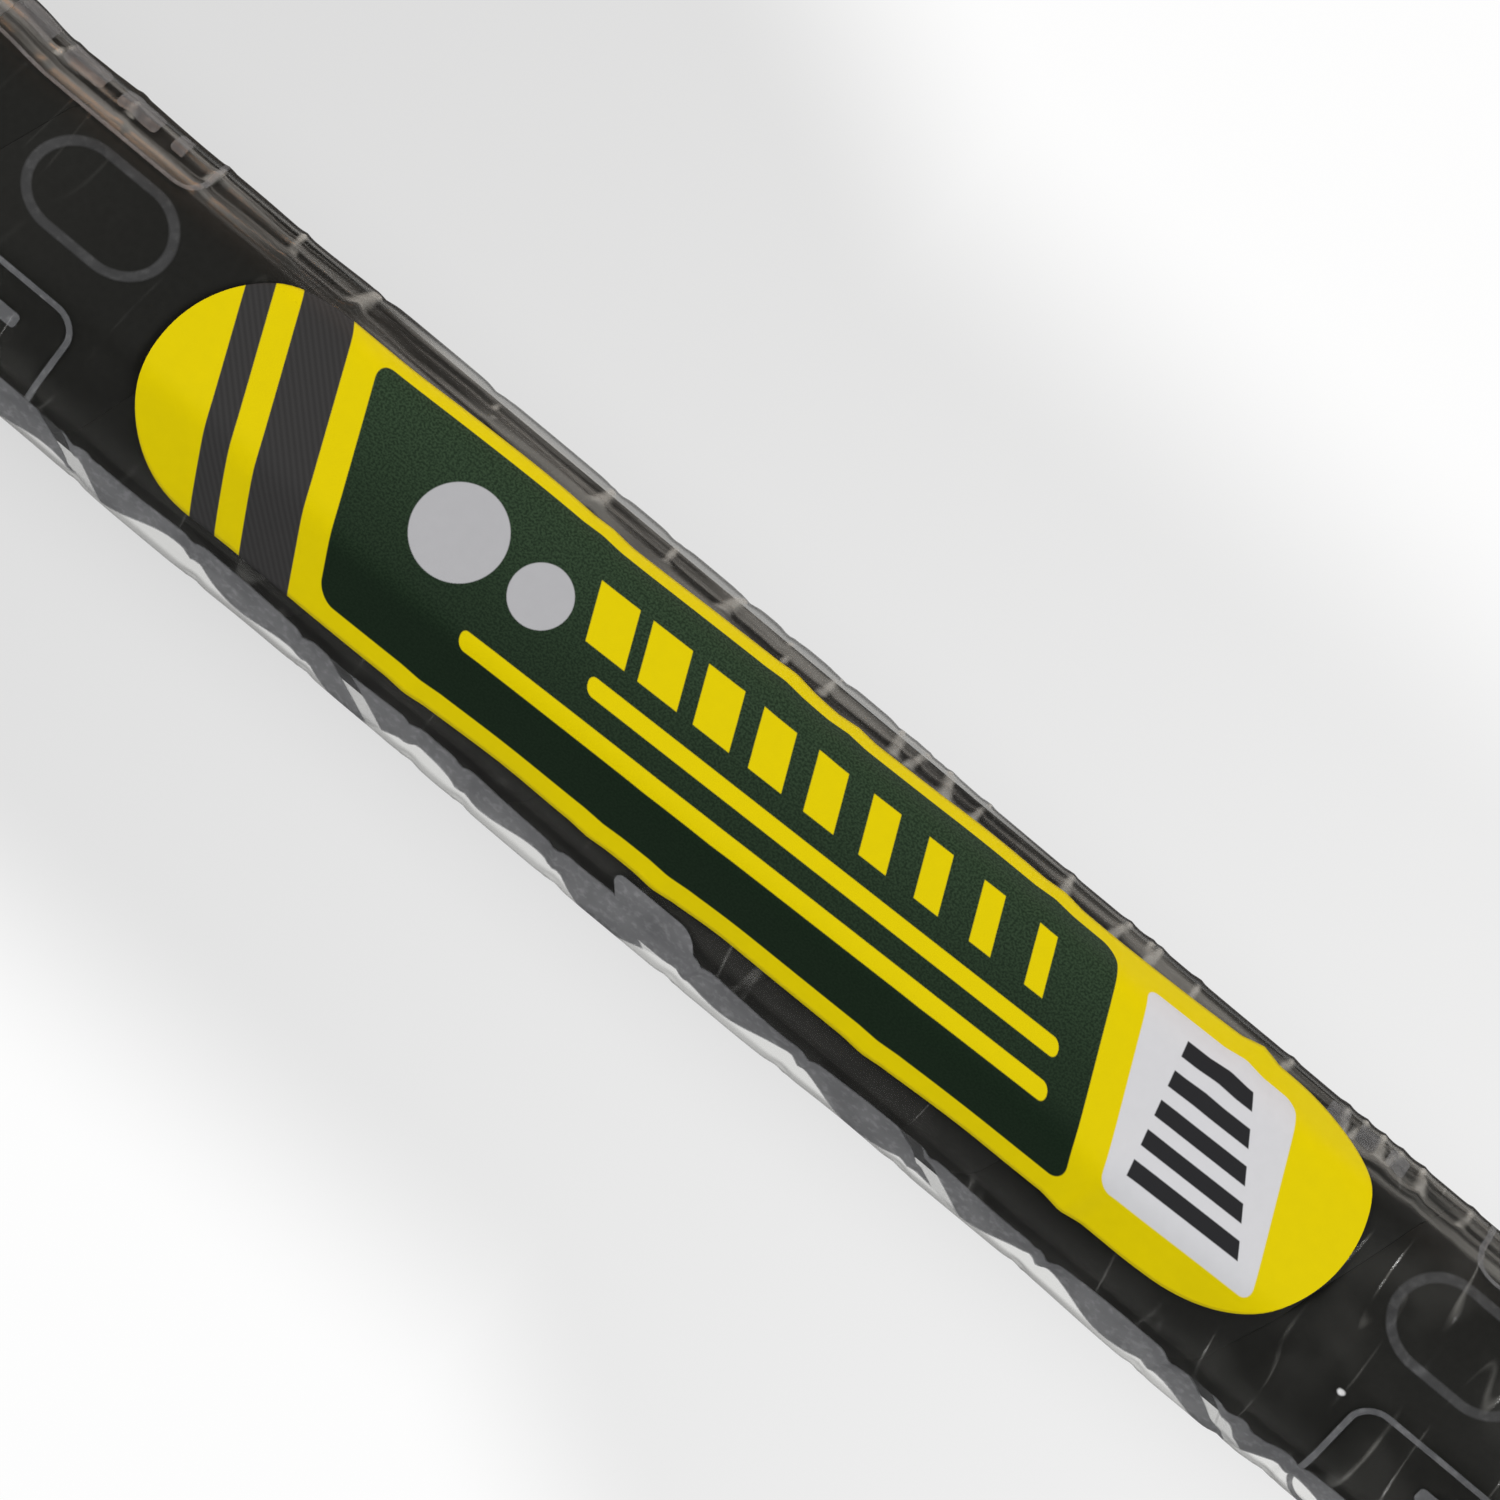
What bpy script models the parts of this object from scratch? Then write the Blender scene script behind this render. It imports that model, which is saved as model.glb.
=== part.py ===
"""Badminton racket in its new state: strung head, slim shaft, and a wound grip under a clear sleeve.

The long axis runs along X, with the head towards +X and the butt towards -X.
The string bed is level, the butt cap's underside rests on Z = 0, and all sizes are in metres.
"""

import math

import bmesh
import bpy
from mathutils import Matrix, Vector

# Overall
RACKET_LENGTH = 0.675
CLEARANCE = 0.0003

# Hoop of the head: outside size, wall section, and how square its oval is
HEAD_LENGTH = 0.253
HEAD_WIDTH = 0.202
HOOP_WIDTH = 0.0075
HOOP_DEPTH = 0.0106
HOOP_EDGE = 0.0017
SQUARENESS = 2.25
SQUARENESS_RISE_TO_TOP = 0.2
GROOVE_DEPTH = 0.0016
HOOP_STEPS = 80

# String bed
MAIN_COUNT = 22
CROSS_COUNT = 21
STRING_DIAMETER = 0.0007
STRING_PLAY = 0.0004
HOLE_LAND = 0.0007
HOLE_SIDES = 6
MAIN_MARGIN = 0.0095
CROSS_MARGIN = 0.0165
STRING_LEAD = 0.0012
THROAT_SPREAD = 0.0068
EDGE_REACH = 0.005

# Tee joint, throat fairing and shaft
TEE_BAR_LENGTH = 0.0112
TEE_BAR_DEPTH = 0.0046
TEE_STEM_LENGTH = 0.045
POCKET_WALL = 0.00115
BOND = 0.0003
FAIRING_LENGTH = 0.018
FAIRING_WIDTH = 0.0124
FAIRING_DEPTH = 0.0092
FAIRING_CORNER = 0.0030
FAIRING_CURVE = 2.2
FAIRING_STEPS = 5
FAIRING_WALL = 0.0008
SHAFT_DIAMETER = 0.007
SHAFT_WALL = 0.0012
SHAFT_SEAT = 0.014
SHAFT_INSERT = 0.068

# Handle moulding: octagon across its flats, with a cone at the shaft end
HANDLE_LENGTH = 0.216
CONE_LENGTH = 0.030
HANDLE_WIDTH = 0.0204
HANDLE_HEIGHT = 0.0184
HANDLE_CHAMFER = 0.0048
SHELL_WALL = 0.0012
CONE_TIP_WALL = 0.0016
CONE_CURVE = 1.3
SOCKET_LENGTH = 0.038

# Oval inlays round the cone
INLAY_LENGTH = 0.0074
INLAY_WIDTH = 0.0040
INLAY_DEPTH = 0.0009
INLAY_PLACE = 0.52

# Butt cap
CAP_LENGTH = 0.0065
CAP_FLARE = 0.0014
CAP_EDGE = 0.0012
CAP_PLUG = 0.0095

# Wound grip, finishing tape, sleeve and label
GRIP_THICKNESS = 0.0016
GRIP_STRIP_WIDTH = 0.024
GRIP_SEAM = 0.0006
GRIP_EDGE = 0.0005
TAPE_ON_GRIP = 0.0035
TAPE_ON_CONE = 0.0070
TAPE_THICKNESS = 0.0002
SLEEVE_SLACK = 0.00075
SLEEVE_WALL = 0.00015
SLEEVE_OVERHANG = 0.0015
LABEL_LENGTH = 0.1234
LABEL_WIDTH = 0.0210
LABEL_THICKNESS = 0.00015
LABEL_CENTRE_FROM_BUTT = 0.0932
LABEL_SHIFT = 0.0008
LABEL_TURN = math.radians(0.65)
LABEL_ARC_STEPS = 12

# Sizes that follow from the ones above
HALF_LENGTH = RACKET_LENGTH / 2
HOOP_HALF = HOOP_WIDTH / 2
HEAD_CENTRE_X = HALF_LENGTH - HEAD_LENGTH / 2
HEAD_BASE_X = HALF_LENGTH - HEAD_LENGTH
HOLE_RADIUS = STRING_DIAMETER / 2 + STRING_PLAY
ROW_RISE = HOLE_RADIUS + HOLE_LAND / 2
WEAVE_RISE = (STRING_DIAMETER + CLEARANCE) / 2
GROOVE_HALF = ROW_RISE + HOLE_RADIUS + CLEARANCE
GROOVE_RUN = HOOP_HALF - GROOVE_DEPTH + STRING_DIAMETER / 2 + CLEARANCE
SHAFT_BORE = SHAFT_DIAMETER - 2 * SHAFT_WALL
SHAFT_HOLE_RADIUS = SHAFT_DIAMETER / 2 + CLEARANCE
TEE_STEM_RADIUS = SHAFT_BORE / 2 - CLEARANCE - BOND
CONE_BASE = HANDLE_LENGTH - CONE_LENGTH
GRIP_START = CAP_LENGTH + CLEARANCE
GRIP_INNER = CLEARANCE
GRIP_OUTER = GRIP_INNER + GRIP_THICKNESS
SLEEVE_INNER = GRIP_OUTER + SLEEVE_SLACK
SLEEVE_OUTER = SLEEVE_INNER + SLEEVE_WALL
SLEEVE_END = CONE_BASE + SLEEVE_OVERHANG
CAP_OUTER = SLEEVE_OUTER + CAP_FLARE
AXIS_HEIGHT = HANDLE_HEIGHT / 2 + CAP_OUTER
CONE_BASE_RADIUS = (HANDLE_WIDTH + HANDLE_HEIGHT) / 4
CONE_TIP_RADIUS = SHAFT_HOLE_RADIUS + CONE_TIP_WALL


# Scene, materials and small helpers

for old in list(bpy.data.objects):
    bpy.data.objects.remove(old, do_unlink=True)

racket = bpy.data.objects.new("racket", None)
racket.location.z = AXIS_HEIGHT
bpy.context.scene.collection.objects.link(racket)


def make_material(name, colour, roughness, metallic=0.0):
    """A plain finish of one colour."""
    material = bpy.data.materials.new(name)
    material.use_nodes = True
    shader = material.node_tree.nodes["Principled BSDF"]
    shader.inputs["Base Color"].default_value = (*colour, 1.0)
    shader.inputs["Roughness"].default_value = roughness
    shader.inputs["Metallic"].default_value = metallic
    return material


GREEN_GRAPHITE = make_material("green_graphite", (0.030, 0.070, 0.040), 0.35)
CHARCOAL_GRAPHITE = make_material("charcoal_graphite", (0.045, 0.046, 0.048), 0.30)
ALUMINIUM = make_material("aluminium", (0.70, 0.70, 0.72), 0.35, 1.0)
STRING_NYLON = make_material("string_nylon", (0.80, 0.80, 0.76), 0.35)
BLACK_GRIP = make_material("black_grip", (0.022, 0.022, 0.020), 0.55)
BLACK_PLASTIC = make_material("black_plastic", (0.025, 0.025, 0.026), 0.45)
FOAM = make_material("foam", (0.55, 0.52, 0.44), 0.90)
BLACK_TAPE = make_material("black_tape", (0.030, 0.030, 0.032), 0.35)
CLEAR_FILM = make_material("clear_film", (0.85, 0.86, 0.86), 0.12)
YELLOW_PAPER = make_material("yellow_paper", (0.70, 0.57, 0.00), 0.45)
PALE_INLAY = make_material("pale_inlay", (0.50, 0.51, 0.50), 0.40)


def add_object(name, data, material=None):
    """Put a mesh or a curve on the racket's empty; without a material it is a cutter."""
    part = bpy.data.objects.new(name, data)
    bpy.context.scene.collection.objects.link(part)
    part.parent = racket
    if material is None:
        part.hide_render = True
        part.display_type = "WIRE"
    else:
        data.materials.append(material)
    return part


def add_mesh(name, shape, material=None, sharp_angle=math.radians(35)):
    """Turn a bmesh into an object, smooth apart from its sharp edges."""
    bmesh.ops.recalc_face_normals(shape, faces=shape.faces)
    mesh = bpy.data.meshes.new(name)
    shape.to_mesh(mesh)
    shape.free()
    mesh.shade_smooth()
    mesh.set_sharp_from_angle(angle=sharp_angle)
    return add_object(name, mesh, material)


def combine(part, operation, *tools):
    """Cut a part by other objects, or keep what it shares with them."""
    for tool in tools:
        step = part.modifiers.new(tool.name, "BOOLEAN")
        step.operation = operation
        step.solver = "EXACT"
        step.object = tool


def loft(sections, closed=False):
    """Skin a row of sections with equal counts of points; closed joins the last to the first."""
    shape = bmesh.new()
    loops = [[shape.verts.new(point) for point in section] for section in sections]
    following = loops[1:] + loops[:1] if closed else loops[1:]
    for loop, after in zip(loops, following):
        for k in range(len(loop)):
            shape.faces.new((loop[k - 1], loop[k], after[k], after[k - 1]))
    if not closed:
        shape.faces.new(loops[0])
        shape.faces.new(loops[-1])
    return shape


def from_butt(distance):
    """X of a place given by its distance from the butt."""
    return distance - HALF_LENGTH


def at_x(outline, x):
    """A (y, z) outline as a section across the racket's axis."""
    return [Vector((x, y, z)) for y, z in outline]


def octagon_sizes(growth):
    """Half width, half height and chamfer of the handle's octagon, grown square to its faces."""
    chamfer = HANDLE_CHAMFER + growth * (2 - math.sqrt(2))
    return HANDLE_WIDTH / 2 + growth, HANDLE_HEIGHT / 2 + growth, chamfer


def octagon(growth, parts=1):
    """The grown octagon, with each side in equal parts."""
    across, up, chamfer = octagon_sizes(growth)
    flat = across - chamfer
    side = up - chamfer
    corners = [(across, -side), (across, side), (flat, up), (-flat, up),
               (-across, side), (-across, -side), (-flat, -up), (flat, -up)]
    outline = []
    for k, (y, z) in enumerate(corners):
        next_y, next_z = corners[(k + 1) % len(corners)]
        for part in range(parts):
            share = part / parts
            outline.append((y + (next_y - y) * share, z + (next_z - z) * share))
    return outline


OCTAGON_PARTS = 3


def circle(radius):
    """A circle with a point towards each point of the octagon."""
    angles = [math.atan2(z, y) for y, z in octagon(0, OCTAGON_PARTS)]
    return [(radius * math.cos(angle), radius * math.sin(angle)) for angle in angles]


def add_cylinder(shape, radius, length, sides, place):
    """Add a closed cylinder along the Z of a placing matrix, centred on it."""
    bmesh.ops.create_cone(shape, cap_ends=True, segments=sides, radius1=radius, radius2=radius,
                          depth=length, matrix=place)
    return shape


def box(size, centre):
    """A closed box of three side lengths."""
    shape = bmesh.new()
    bmesh.ops.create_cube(shape, matrix=Matrix.Translation(centre) @ Matrix.Diagonal((*size, 1)))
    return shape


# Hoop

def hoop_centre_line(angle):
    """A point of the hoop's centre line; angle 0 is the top of the head."""
    along = HEAD_LENGTH / 2 - HOOP_HALF
    across = HEAD_WIDTH / 2 - HOOP_HALF
    power = SQUARENESS + SQUARENESS_RISE_TO_TOP * math.cos(angle)
    reach = abs(math.cos(angle) / along) ** power + abs(math.sin(angle) / across) ** power
    radius = reach ** (-1 / power)
    return Vector((HEAD_CENTRE_X + radius * math.cos(angle), radius * math.sin(angle), 0))


def hoop_normal(angle):
    """The hoop's outward direction in the plane of the strings."""
    step = 0.001
    tangent = hoop_centre_line(angle + step) - hoop_centre_line(angle - step)
    return Vector((tangent.y, -tangent.x, 0)).normalized()


def hoop_point(angle, outward, height=0.0):
    """A point beside the hoop's centre line."""
    return hoop_centre_line(angle) + hoop_normal(angle) * outward + Vector((0, 0, height))


def hoop_section():
    """The hoop's section as (outward, height): a rounded box with a string groove outside."""
    depth = HOOP_DEPTH / 2
    shoulder = depth - HOOP_EDGE
    floor = HOOP_HALF - GROOVE_DEPTH
    half = [(floor, GROOVE_HALF), (HOOP_HALF, GROOVE_HALF), (HOOP_HALF, shoulder),
            (HOOP_HALF - HOOP_EDGE, depth), (HOOP_EDGE - HOOP_HALF, depth), (-HOOP_HALF, shoulder)]
    return half + [(outward, -height) for outward, height in reversed(half)]


def solve(function, target, low, high):
    """Where a function that falls or rises steadily between two angles has a value."""
    rising = function(high) > function(low)
    for _ in range(50):
        middle = (low + high) / 2
        if (function(middle) < target) == rising:
            low = middle
        else:
            high = middle
    return (low + high) / 2


# Where the strings leave the head

LEAD_INSET = -(HOOP_HALF + STRING_LEAD)
BED_HALF_WIDTH = HEAD_WIDTH / 2 - HOOP_WIDTH - MAIN_MARGIN
BED_HALF_LENGTH = HEAD_LENGTH / 2 - HOOP_WIDTH - CROSS_MARGIN


def spread(count, half_span):
    """Evenly spaced places from one side to the other."""
    return [half_span * (2 * k / (count - 1) - 1) for k in range(count)]


MAIN_Y = spread(MAIN_COUNT, BED_HALF_WIDTH)
CROSS_X = [HEAD_CENTRE_X + offset for offset in spread(CROSS_COUNT, BED_HALF_LENGTH)]


def throat_y(y):
    """The mains fan apart at the throat, to pass either side of the tee joint."""
    return math.copysign(math.hypot(y, THROAT_SPREAD), y)


def lead_x(angle):
    return hoop_point(angle, LEAD_INSET).x


def lead_y(angle):
    return hoop_point(angle, LEAD_INSET).y


MAIN_TOP = [solve(lead_y, y, -math.pi / 2, math.pi / 2) for y in MAIN_Y]
MAIN_THROAT = [solve(lead_y, throat_y(y), math.pi / 2, 3 * math.pi / 2) for y in MAIN_Y]
CROSS_SIDE = [solve(lead_x, x, 0, math.pi) for x in CROSS_X]


def make_head_frame():
    """The moulded hoop, drilled in two rows, with a pocket for the tee joint at its throat."""
    section = hoop_section()
    sections = []
    for step in range(HOOP_STEPS):
        angle = 2 * math.pi * step / HOOP_STEPS
        sections.append([hoop_point(angle, outward, height) for outward, height in section])
    hoop = add_mesh("head_frame", loft(sections, closed=True), GREEN_GRAPHITE)

    drills = bmesh.new()
    holes = [(angle, ROW_RISE) for angle in MAIN_TOP + MAIN_THROAT]
    holes += [(side * angle, -ROW_RISE) for angle in CROSS_SIDE for side in (1, -1)]
    for angle, height in holes:
        turn = hoop_normal(angle).to_track_quat("Z", "Y").to_matrix().to_4x4()
        place = Matrix.Translation(hoop_point(angle, 0, height)) @ turn
        add_cylinder(drills, HOLE_RADIUS, HOOP_WIDTH + HOLE_LAND, HOLE_SIDES, place)
    drill_rows = add_mesh("string_hole_cutter", drills)

    pocket = box([side + 2 * CLEARANCE for side in tee_bar_size()], (tee_bar_x(), 0, 0))
    pocket_cutter = add_mesh("tee_pocket_cutter", pocket)
    neck_x = tee_bar_x() - HOOP_HALF
    neck = loft([at_x(circle(TEE_STEM_RADIUS + CLEARANCE), neck_x + side * HOOP_HALF) for side in (1, -1)])
    combine(hoop, "DIFFERENCE", drill_rows, pocket_cutter, add_mesh("tee_neck_cutter", neck))


# Tee joint, throat fairing and shaft

def tee_bar_size():
    """The bar fills the hoop's wall between the groove's floor and the inside."""
    thickness = HOOP_WIDTH - GROOVE_DEPTH - 2 * POCKET_WALL - 2 * CLEARANCE
    return thickness, TEE_BAR_LENGTH, TEE_BAR_DEPTH


def tee_bar_x():
    """Middle of the bar, inside the hoop's lowest part."""
    return HEAD_BASE_X + GROOVE_DEPTH + POCKET_WALL + CLEARANCE + tee_bar_size()[0] / 2


def make_tee_joint():
    """An aluminium tee: its bar lies in the hoop, and its stem runs down the shaft."""
    bar = add_mesh("tee_joint_core", box(tee_bar_size(), (tee_bar_x(), 0, 0)), ALUMINIUM)
    end = tee_bar_x() - TEE_STEM_LENGTH
    stem = loft([at_x(circle(TEE_STEM_RADIUS), x) for x in (tee_bar_x(), end)])
    combine(bar, "UNION", add_mesh("tee_stem", stem))


def rounded_box(width, depth, corner):
    """A box outline with round corners and as many points as the circles have."""
    outline = []
    for y, z in circle(1.0):
        reach_y = math.copysign(width / 2 - corner, y)
        reach_z = math.copysign(depth / 2 - corner, z)
        outline.append((reach_y + corner * y, reach_z + corner * z))
    return outline


def fairing_start():
    return HEAD_BASE_X - CLEARANCE


def fairing_section(share):
    """A section of the fairing, from a rounded box at the hoop to a circle round the shaft."""
    end_radius = SHAFT_HOLE_RADIUS + FAIRING_WALL
    left = (1 - share) ** FAIRING_CURVE
    width = 2 * end_radius + (FAIRING_WIDTH - 2 * end_radius) * left
    depth = 2 * end_radius + (FAIRING_DEPTH - 2 * end_radius) * left
    corner = end_radius + (FAIRING_CORNER - end_radius) * left
    return rounded_box(width, depth, corner)


def make_throat_fairing():
    """The collar that blends the hoop's throat into the shaft."""
    start = fairing_start()
    end = start - FAIRING_LENGTH
    seat = end + SHAFT_SEAT
    shares = [k / FAIRING_STEPS for k in range(FAIRING_STEPS + 1)]
    outside = [at_x(fairing_section(share), start - FAIRING_LENGTH * share) for share in shares]
    stem_hole = circle(TEE_STEM_RADIUS + CLEARANCE)
    shaft_hole = circle(SHAFT_HOLE_RADIUS)
    inside = [at_x(shaft_hole, end), at_x(shaft_hole, seat), at_x(stem_hole, seat), at_x(stem_hole, start)]
    add_mesh("throat_fairing", loft(outside + inside, closed=True), GREEN_GRAPHITE)


def make_shaft():
    """The slim tube, from its seat in the fairing down into the handle."""
    top = fairing_start() - FAIRING_LENGTH + SHAFT_SEAT - CLEARANCE
    foot = from_butt(HANDLE_LENGTH - SHAFT_INSERT)
    outside = [at_x(circle(SHAFT_DIAMETER / 2), x) for x in (top, foot)]
    bore = [at_x(circle(SHAFT_BORE / 2), x) for x in (foot, top)]
    add_mesh("shaft", loft(outside + bore, closed=True), CHARCOAL_GRAPHITE)


# Strings

def crosses(i, j):
    """Whether main i and cross j meet inside the leads of both."""
    x, y = CROSS_X[j], MAIN_Y[i]
    return lead_x(MAIN_THROAT[i]) < x < lead_x(MAIN_TOP[i]) and abs(y) < lead_y(CROSS_SIDE[j])


def main_is_over(i, j):
    """Over and under by turns, but over close to the hoop, where the main's hole is the upper one."""
    x, y = CROSS_X[j], MAIN_Y[i]
    spare_x = min(lead_x(MAIN_TOP[i]) - x, x - lead_x(MAIN_THROAT[i]))
    spare_y = lead_y(CROSS_SIDE[j]) - abs(y)
    return min(spare_x, spare_y) < EDGE_REACH or (i + j) % 2 == 0


def crossing(i, j, string_sign):
    """The point of one of the two strings at a crossing."""
    side = string_sign if main_is_over(i, j) else -string_sign
    return Vector((CROSS_X[j], MAIN_Y[i], side * WEAVE_RISE))


def string_exit(angle, row):
    """From inside the hoop, through its hole, into the groove."""
    return [hoop_point(angle, LEAD_INSET, row), hoop_point(angle, GROOVE_RUN, row)]


def lace(runs, exits, row):
    """Join runs end to end, with a length in the groove from each hole to the next."""
    path = []
    for k, run in enumerate(runs):
        path += run if k % 2 == 0 else reversed(run)
        if k + 1 < len(runs):
            first, second = exits[k][k % 2], exits[k + 1][k % 2]
            path.append(hoop_point((first + second) / 2, GROOVE_RUN, row))
    return path


def main_path():
    runs = []
    for i in range(MAIN_COUNT):
        bed = [crossing(i, j, 1) for j in range(CROSS_COUNT) if crosses(i, j)]
        foot = list(reversed(string_exit(MAIN_THROAT[i], ROW_RISE)))
        runs.append(foot + bed + string_exit(MAIN_TOP[i], ROW_RISE))
    return lace(runs, list(zip(MAIN_TOP, MAIN_THROAT)), ROW_RISE)


def cross_path():
    runs = []
    for j in range(CROSS_COUNT):
        bed = [crossing(i, j, -1) for i in range(MAIN_COUNT) if crosses(i, j)]
        left = list(reversed(string_exit(-CROSS_SIDE[j], -ROW_RISE)))
        runs.append(left + bed + string_exit(CROSS_SIDE[j], -ROW_RISE))
    return lace(runs, [(angle, -angle) for angle in CROSS_SIDE], -ROW_RISE)


def least_gap(points, thickness, reach):
    """Least free space between points of one path that lie further apart along it than a reach."""
    travelled = [0.0]
    for before, after in zip(points, points[1:]):
        travelled.append(travelled[-1] + (after - before).length)
    gap = math.inf
    for k, point in enumerate(points):
        for m in range(k + 1, len(points)):
            if travelled[m] - travelled[k] > reach:
                gap = min(gap, (points[m] - point).length)
    return gap - thickness


def make_string(name, path):
    """One unbroken string as a slim tube."""
    curve = bpy.data.curves.new(name, "CURVE")
    curve.dimensions = "3D"
    curve.bevel_depth = STRING_DIAMETER / 2
    curve.bevel_resolution = 0
    curve.use_fill_caps = True
    spline = curve.splines.new("POLY")
    spline.points.add(len(path) - 1)
    for point, place in zip(spline.points, path):
        point.co = (*place, 1.0)
    add_object(name, curve, STRING_NYLON)
    gap = least_gap(path, STRING_DIAMETER, 2 * MAIN_MARGIN)
    print(f"{name}: {len(path)} points, least gap to itself {gap * 1000:.2f} mm")


# Handle moulding and what it holds

def cone_section(share, growth=0.0):
    """A section of the cone, from the octagon at share 0 to a circle at its tip."""
    radius = CONE_TIP_RADIUS + (CONE_BASE_RADIUS - CONE_TIP_RADIUS) * (1 - share) ** CONE_CURVE
    scale = radius / CONE_BASE_RADIUS
    roundness = min(1.0, share * 1.5)
    outline = []
    for (y, z), (round_y, round_z) in zip(octagon(0, OCTAGON_PARTS), circle(radius + growth)):
        swell = 1 + growth / math.hypot(y * scale, z * scale)
        flat_y, flat_z = y * scale * swell, z * scale * swell
        outline.append((flat_y + (round_y - flat_y) * roundness, flat_z + (round_z - flat_z) * roundness))
    return outline


def cone_x(share):
    return from_butt(CONE_BASE + CONE_LENGTH * share)


CONE_STEPS = 8
INLAY_SIDES = 16
INLAY_QUARTERS = {"top": 0, "right": 1, "bottom": 2, "left": 3}


def inlay_place(quarter):
    """Matrix of an inlay: its Z stands out of the cone, its X lies along the cone."""
    radial = 1 if quarter % 2 == 0 else 0

    def radius(share):
        return max(point[radial] for point in cone_section(share))

    half_share = INLAY_LENGTH / CONE_LENGTH / 2
    fall = radius(INLAY_PLACE - half_share) - radius(INLAY_PLACE + half_share)
    tilt = Matrix.Rotation(math.atan(fall / INLAY_LENGTH), 4, "Y")
    turn = Matrix.Rotation(math.pi / 2 * quarter, 4, "X")
    along = Matrix.Translation((cone_x(INLAY_PLACE), 0, 0))
    return along @ turn @ Matrix.Translation((0, 0, radius(INLAY_PLACE))) @ tilt


def oval(place, length, width, low, high):
    """An oval pad between two heights over a placing matrix."""
    middle = Matrix.Translation((0, 0, (low + high) / 2))
    stretch = Matrix.Diagonal((length / 2, width / 2, high - low, 1))
    return add_cylinder(bmesh.new(), 1.0, 1.0, INLAY_SIDES, place @ middle @ stretch)


def make_handle_shell():
    """The hollow graphite moulding: an octagonal tube that narrows to a cone round the shaft."""
    start = from_butt(GRIP_START)
    outside = [at_x(octagon(0, OCTAGON_PARTS), start)]
    outside += [at_x(cone_section(k / CONE_STEPS), cone_x(k / CONE_STEPS)) for k in range(CONE_STEPS + 1)]
    shaft_hole = circle(SHAFT_HOLE_RADIUS)
    inner = octagon(-SHELL_WALL, OCTAGON_PARTS)
    inside = [at_x(shaft_hole, cone_x(1)), at_x(shaft_hole, cone_x(0))]
    inside += [at_x(inner, cone_x(0)), at_x(inner, start)]
    shell = add_mesh("handle_shell", loft(outside + inside, closed=True), GREEN_GRAPHITE)
    pad_length = INLAY_LENGTH - 2 * CLEARANCE
    pad_width = INLAY_WIDTH - 2 * CLEARANCE
    for side, quarter in INLAY_QUARTERS.items():
        place = inlay_place(quarter)
        recess = oval(place, INLAY_LENGTH, INLAY_WIDTH, -INLAY_DEPTH, INLAY_DEPTH)
        combine(shell, "DIFFERENCE", add_mesh("inlay_recess_" + side, recess))
        pad = oval(place, pad_length, pad_width, CLEARANCE - INLAY_DEPTH, 0)
        add_mesh("cone_inlay_" + side, pad, PALE_INLAY)


def core_outline():
    return octagon(-SHELL_WALL - CLEARANCE, OCTAGON_PARTS)


def make_shaft_socket():
    """The block inside the handle that holds the shaft's foot."""
    top = from_butt(CONE_BASE - CLEARANCE)
    foot = top - SOCKET_LENGTH
    outside = [at_x(core_outline(), x) for x in (top, foot)]
    bore = [at_x(circle(SHAFT_HOLE_RADIUS), x) for x in (foot, top)]
    add_mesh("shaft_socket", loft(outside + bore, closed=True), BLACK_PLASTIC)


def make_foam_core():
    """Foam that fills the handle between the butt plug and the socket."""
    low = from_butt(CAP_LENGTH + CAP_PLUG + CLEARANCE)
    high = from_butt(CONE_BASE - SOCKET_LENGTH - 2 * CLEARANCE)
    add_mesh("foam_core", loft([at_x(core_outline(), x) for x in (low, high)]), FOAM)


def make_butt_cap():
    """The flared end cap, with a plug inside the handle."""
    flare = [at_x(octagon(CAP_OUTER - CAP_EDGE, OCTAGON_PARTS), from_butt(0)),
             at_x(octagon(CAP_OUTER, OCTAGON_PARTS), from_butt(CAP_EDGE)),
             at_x(octagon(CAP_OUTER, OCTAGON_PARTS), from_butt(CAP_LENGTH - CAP_EDGE)),
             at_x(octagon(SLEEVE_INNER, OCTAGON_PARTS), from_butt(CAP_LENGTH))]
    plug = [at_x(core_outline(), from_butt(place)) for place in (CAP_LENGTH, CAP_LENGTH + CAP_PLUG)]
    add_mesh("butt_cap", loft(flare + plug), BLACK_PLASTIC)


# Grip, tape, sleeve and label

def make_grip_tape():
    """A strip wound round the octagon, bevelled so that each seam shows, cut square at both ends."""
    steps = 16
    pitch = GRIP_STRIP_WIDTH + GRIP_SEAM
    turns = math.ceil((CONE_BASE - GRIP_START) / pitch) + 1
    inner = octagon(GRIP_INNER, steps // 8)
    outer = octagon(GRIP_OUTER, steps // 8)
    shoulder = octagon(GRIP_OUTER - GRIP_EDGE, steps // 8)
    strip = [(inner, 0), (inner, GRIP_STRIP_WIDTH), (shoulder, GRIP_STRIP_WIDTH),
             (outer, GRIP_STRIP_WIDTH - GRIP_EDGE), (outer, GRIP_EDGE), (shoulder, 0)]
    sections = []
    for k in range(turns * steps + 1):
        low = from_butt(GRIP_START) + pitch * (k / steps - 1)
        sections.append([Vector((low + across, *outline[k % steps])) for outline, across in strip])
    grip = add_mesh("grip_tape", loft(sections), BLACK_GRIP)

    length = CONE_BASE - GRIP_START
    trim = box((length, 4 * HANDLE_WIDTH, 4 * HANDLE_HEIGHT), (from_butt(GRIP_START + length / 2), 0, 0))
    combine(grip, "INTERSECT", add_mesh("grip_trim", trim))

    gap = min((sections[k + steps][0] - sections[k][1]).length for k in range(len(sections) - steps))
    print(f"grip_tape: {turns} turns, least gap to itself {gap * 1000:.2f} mm")


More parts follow.
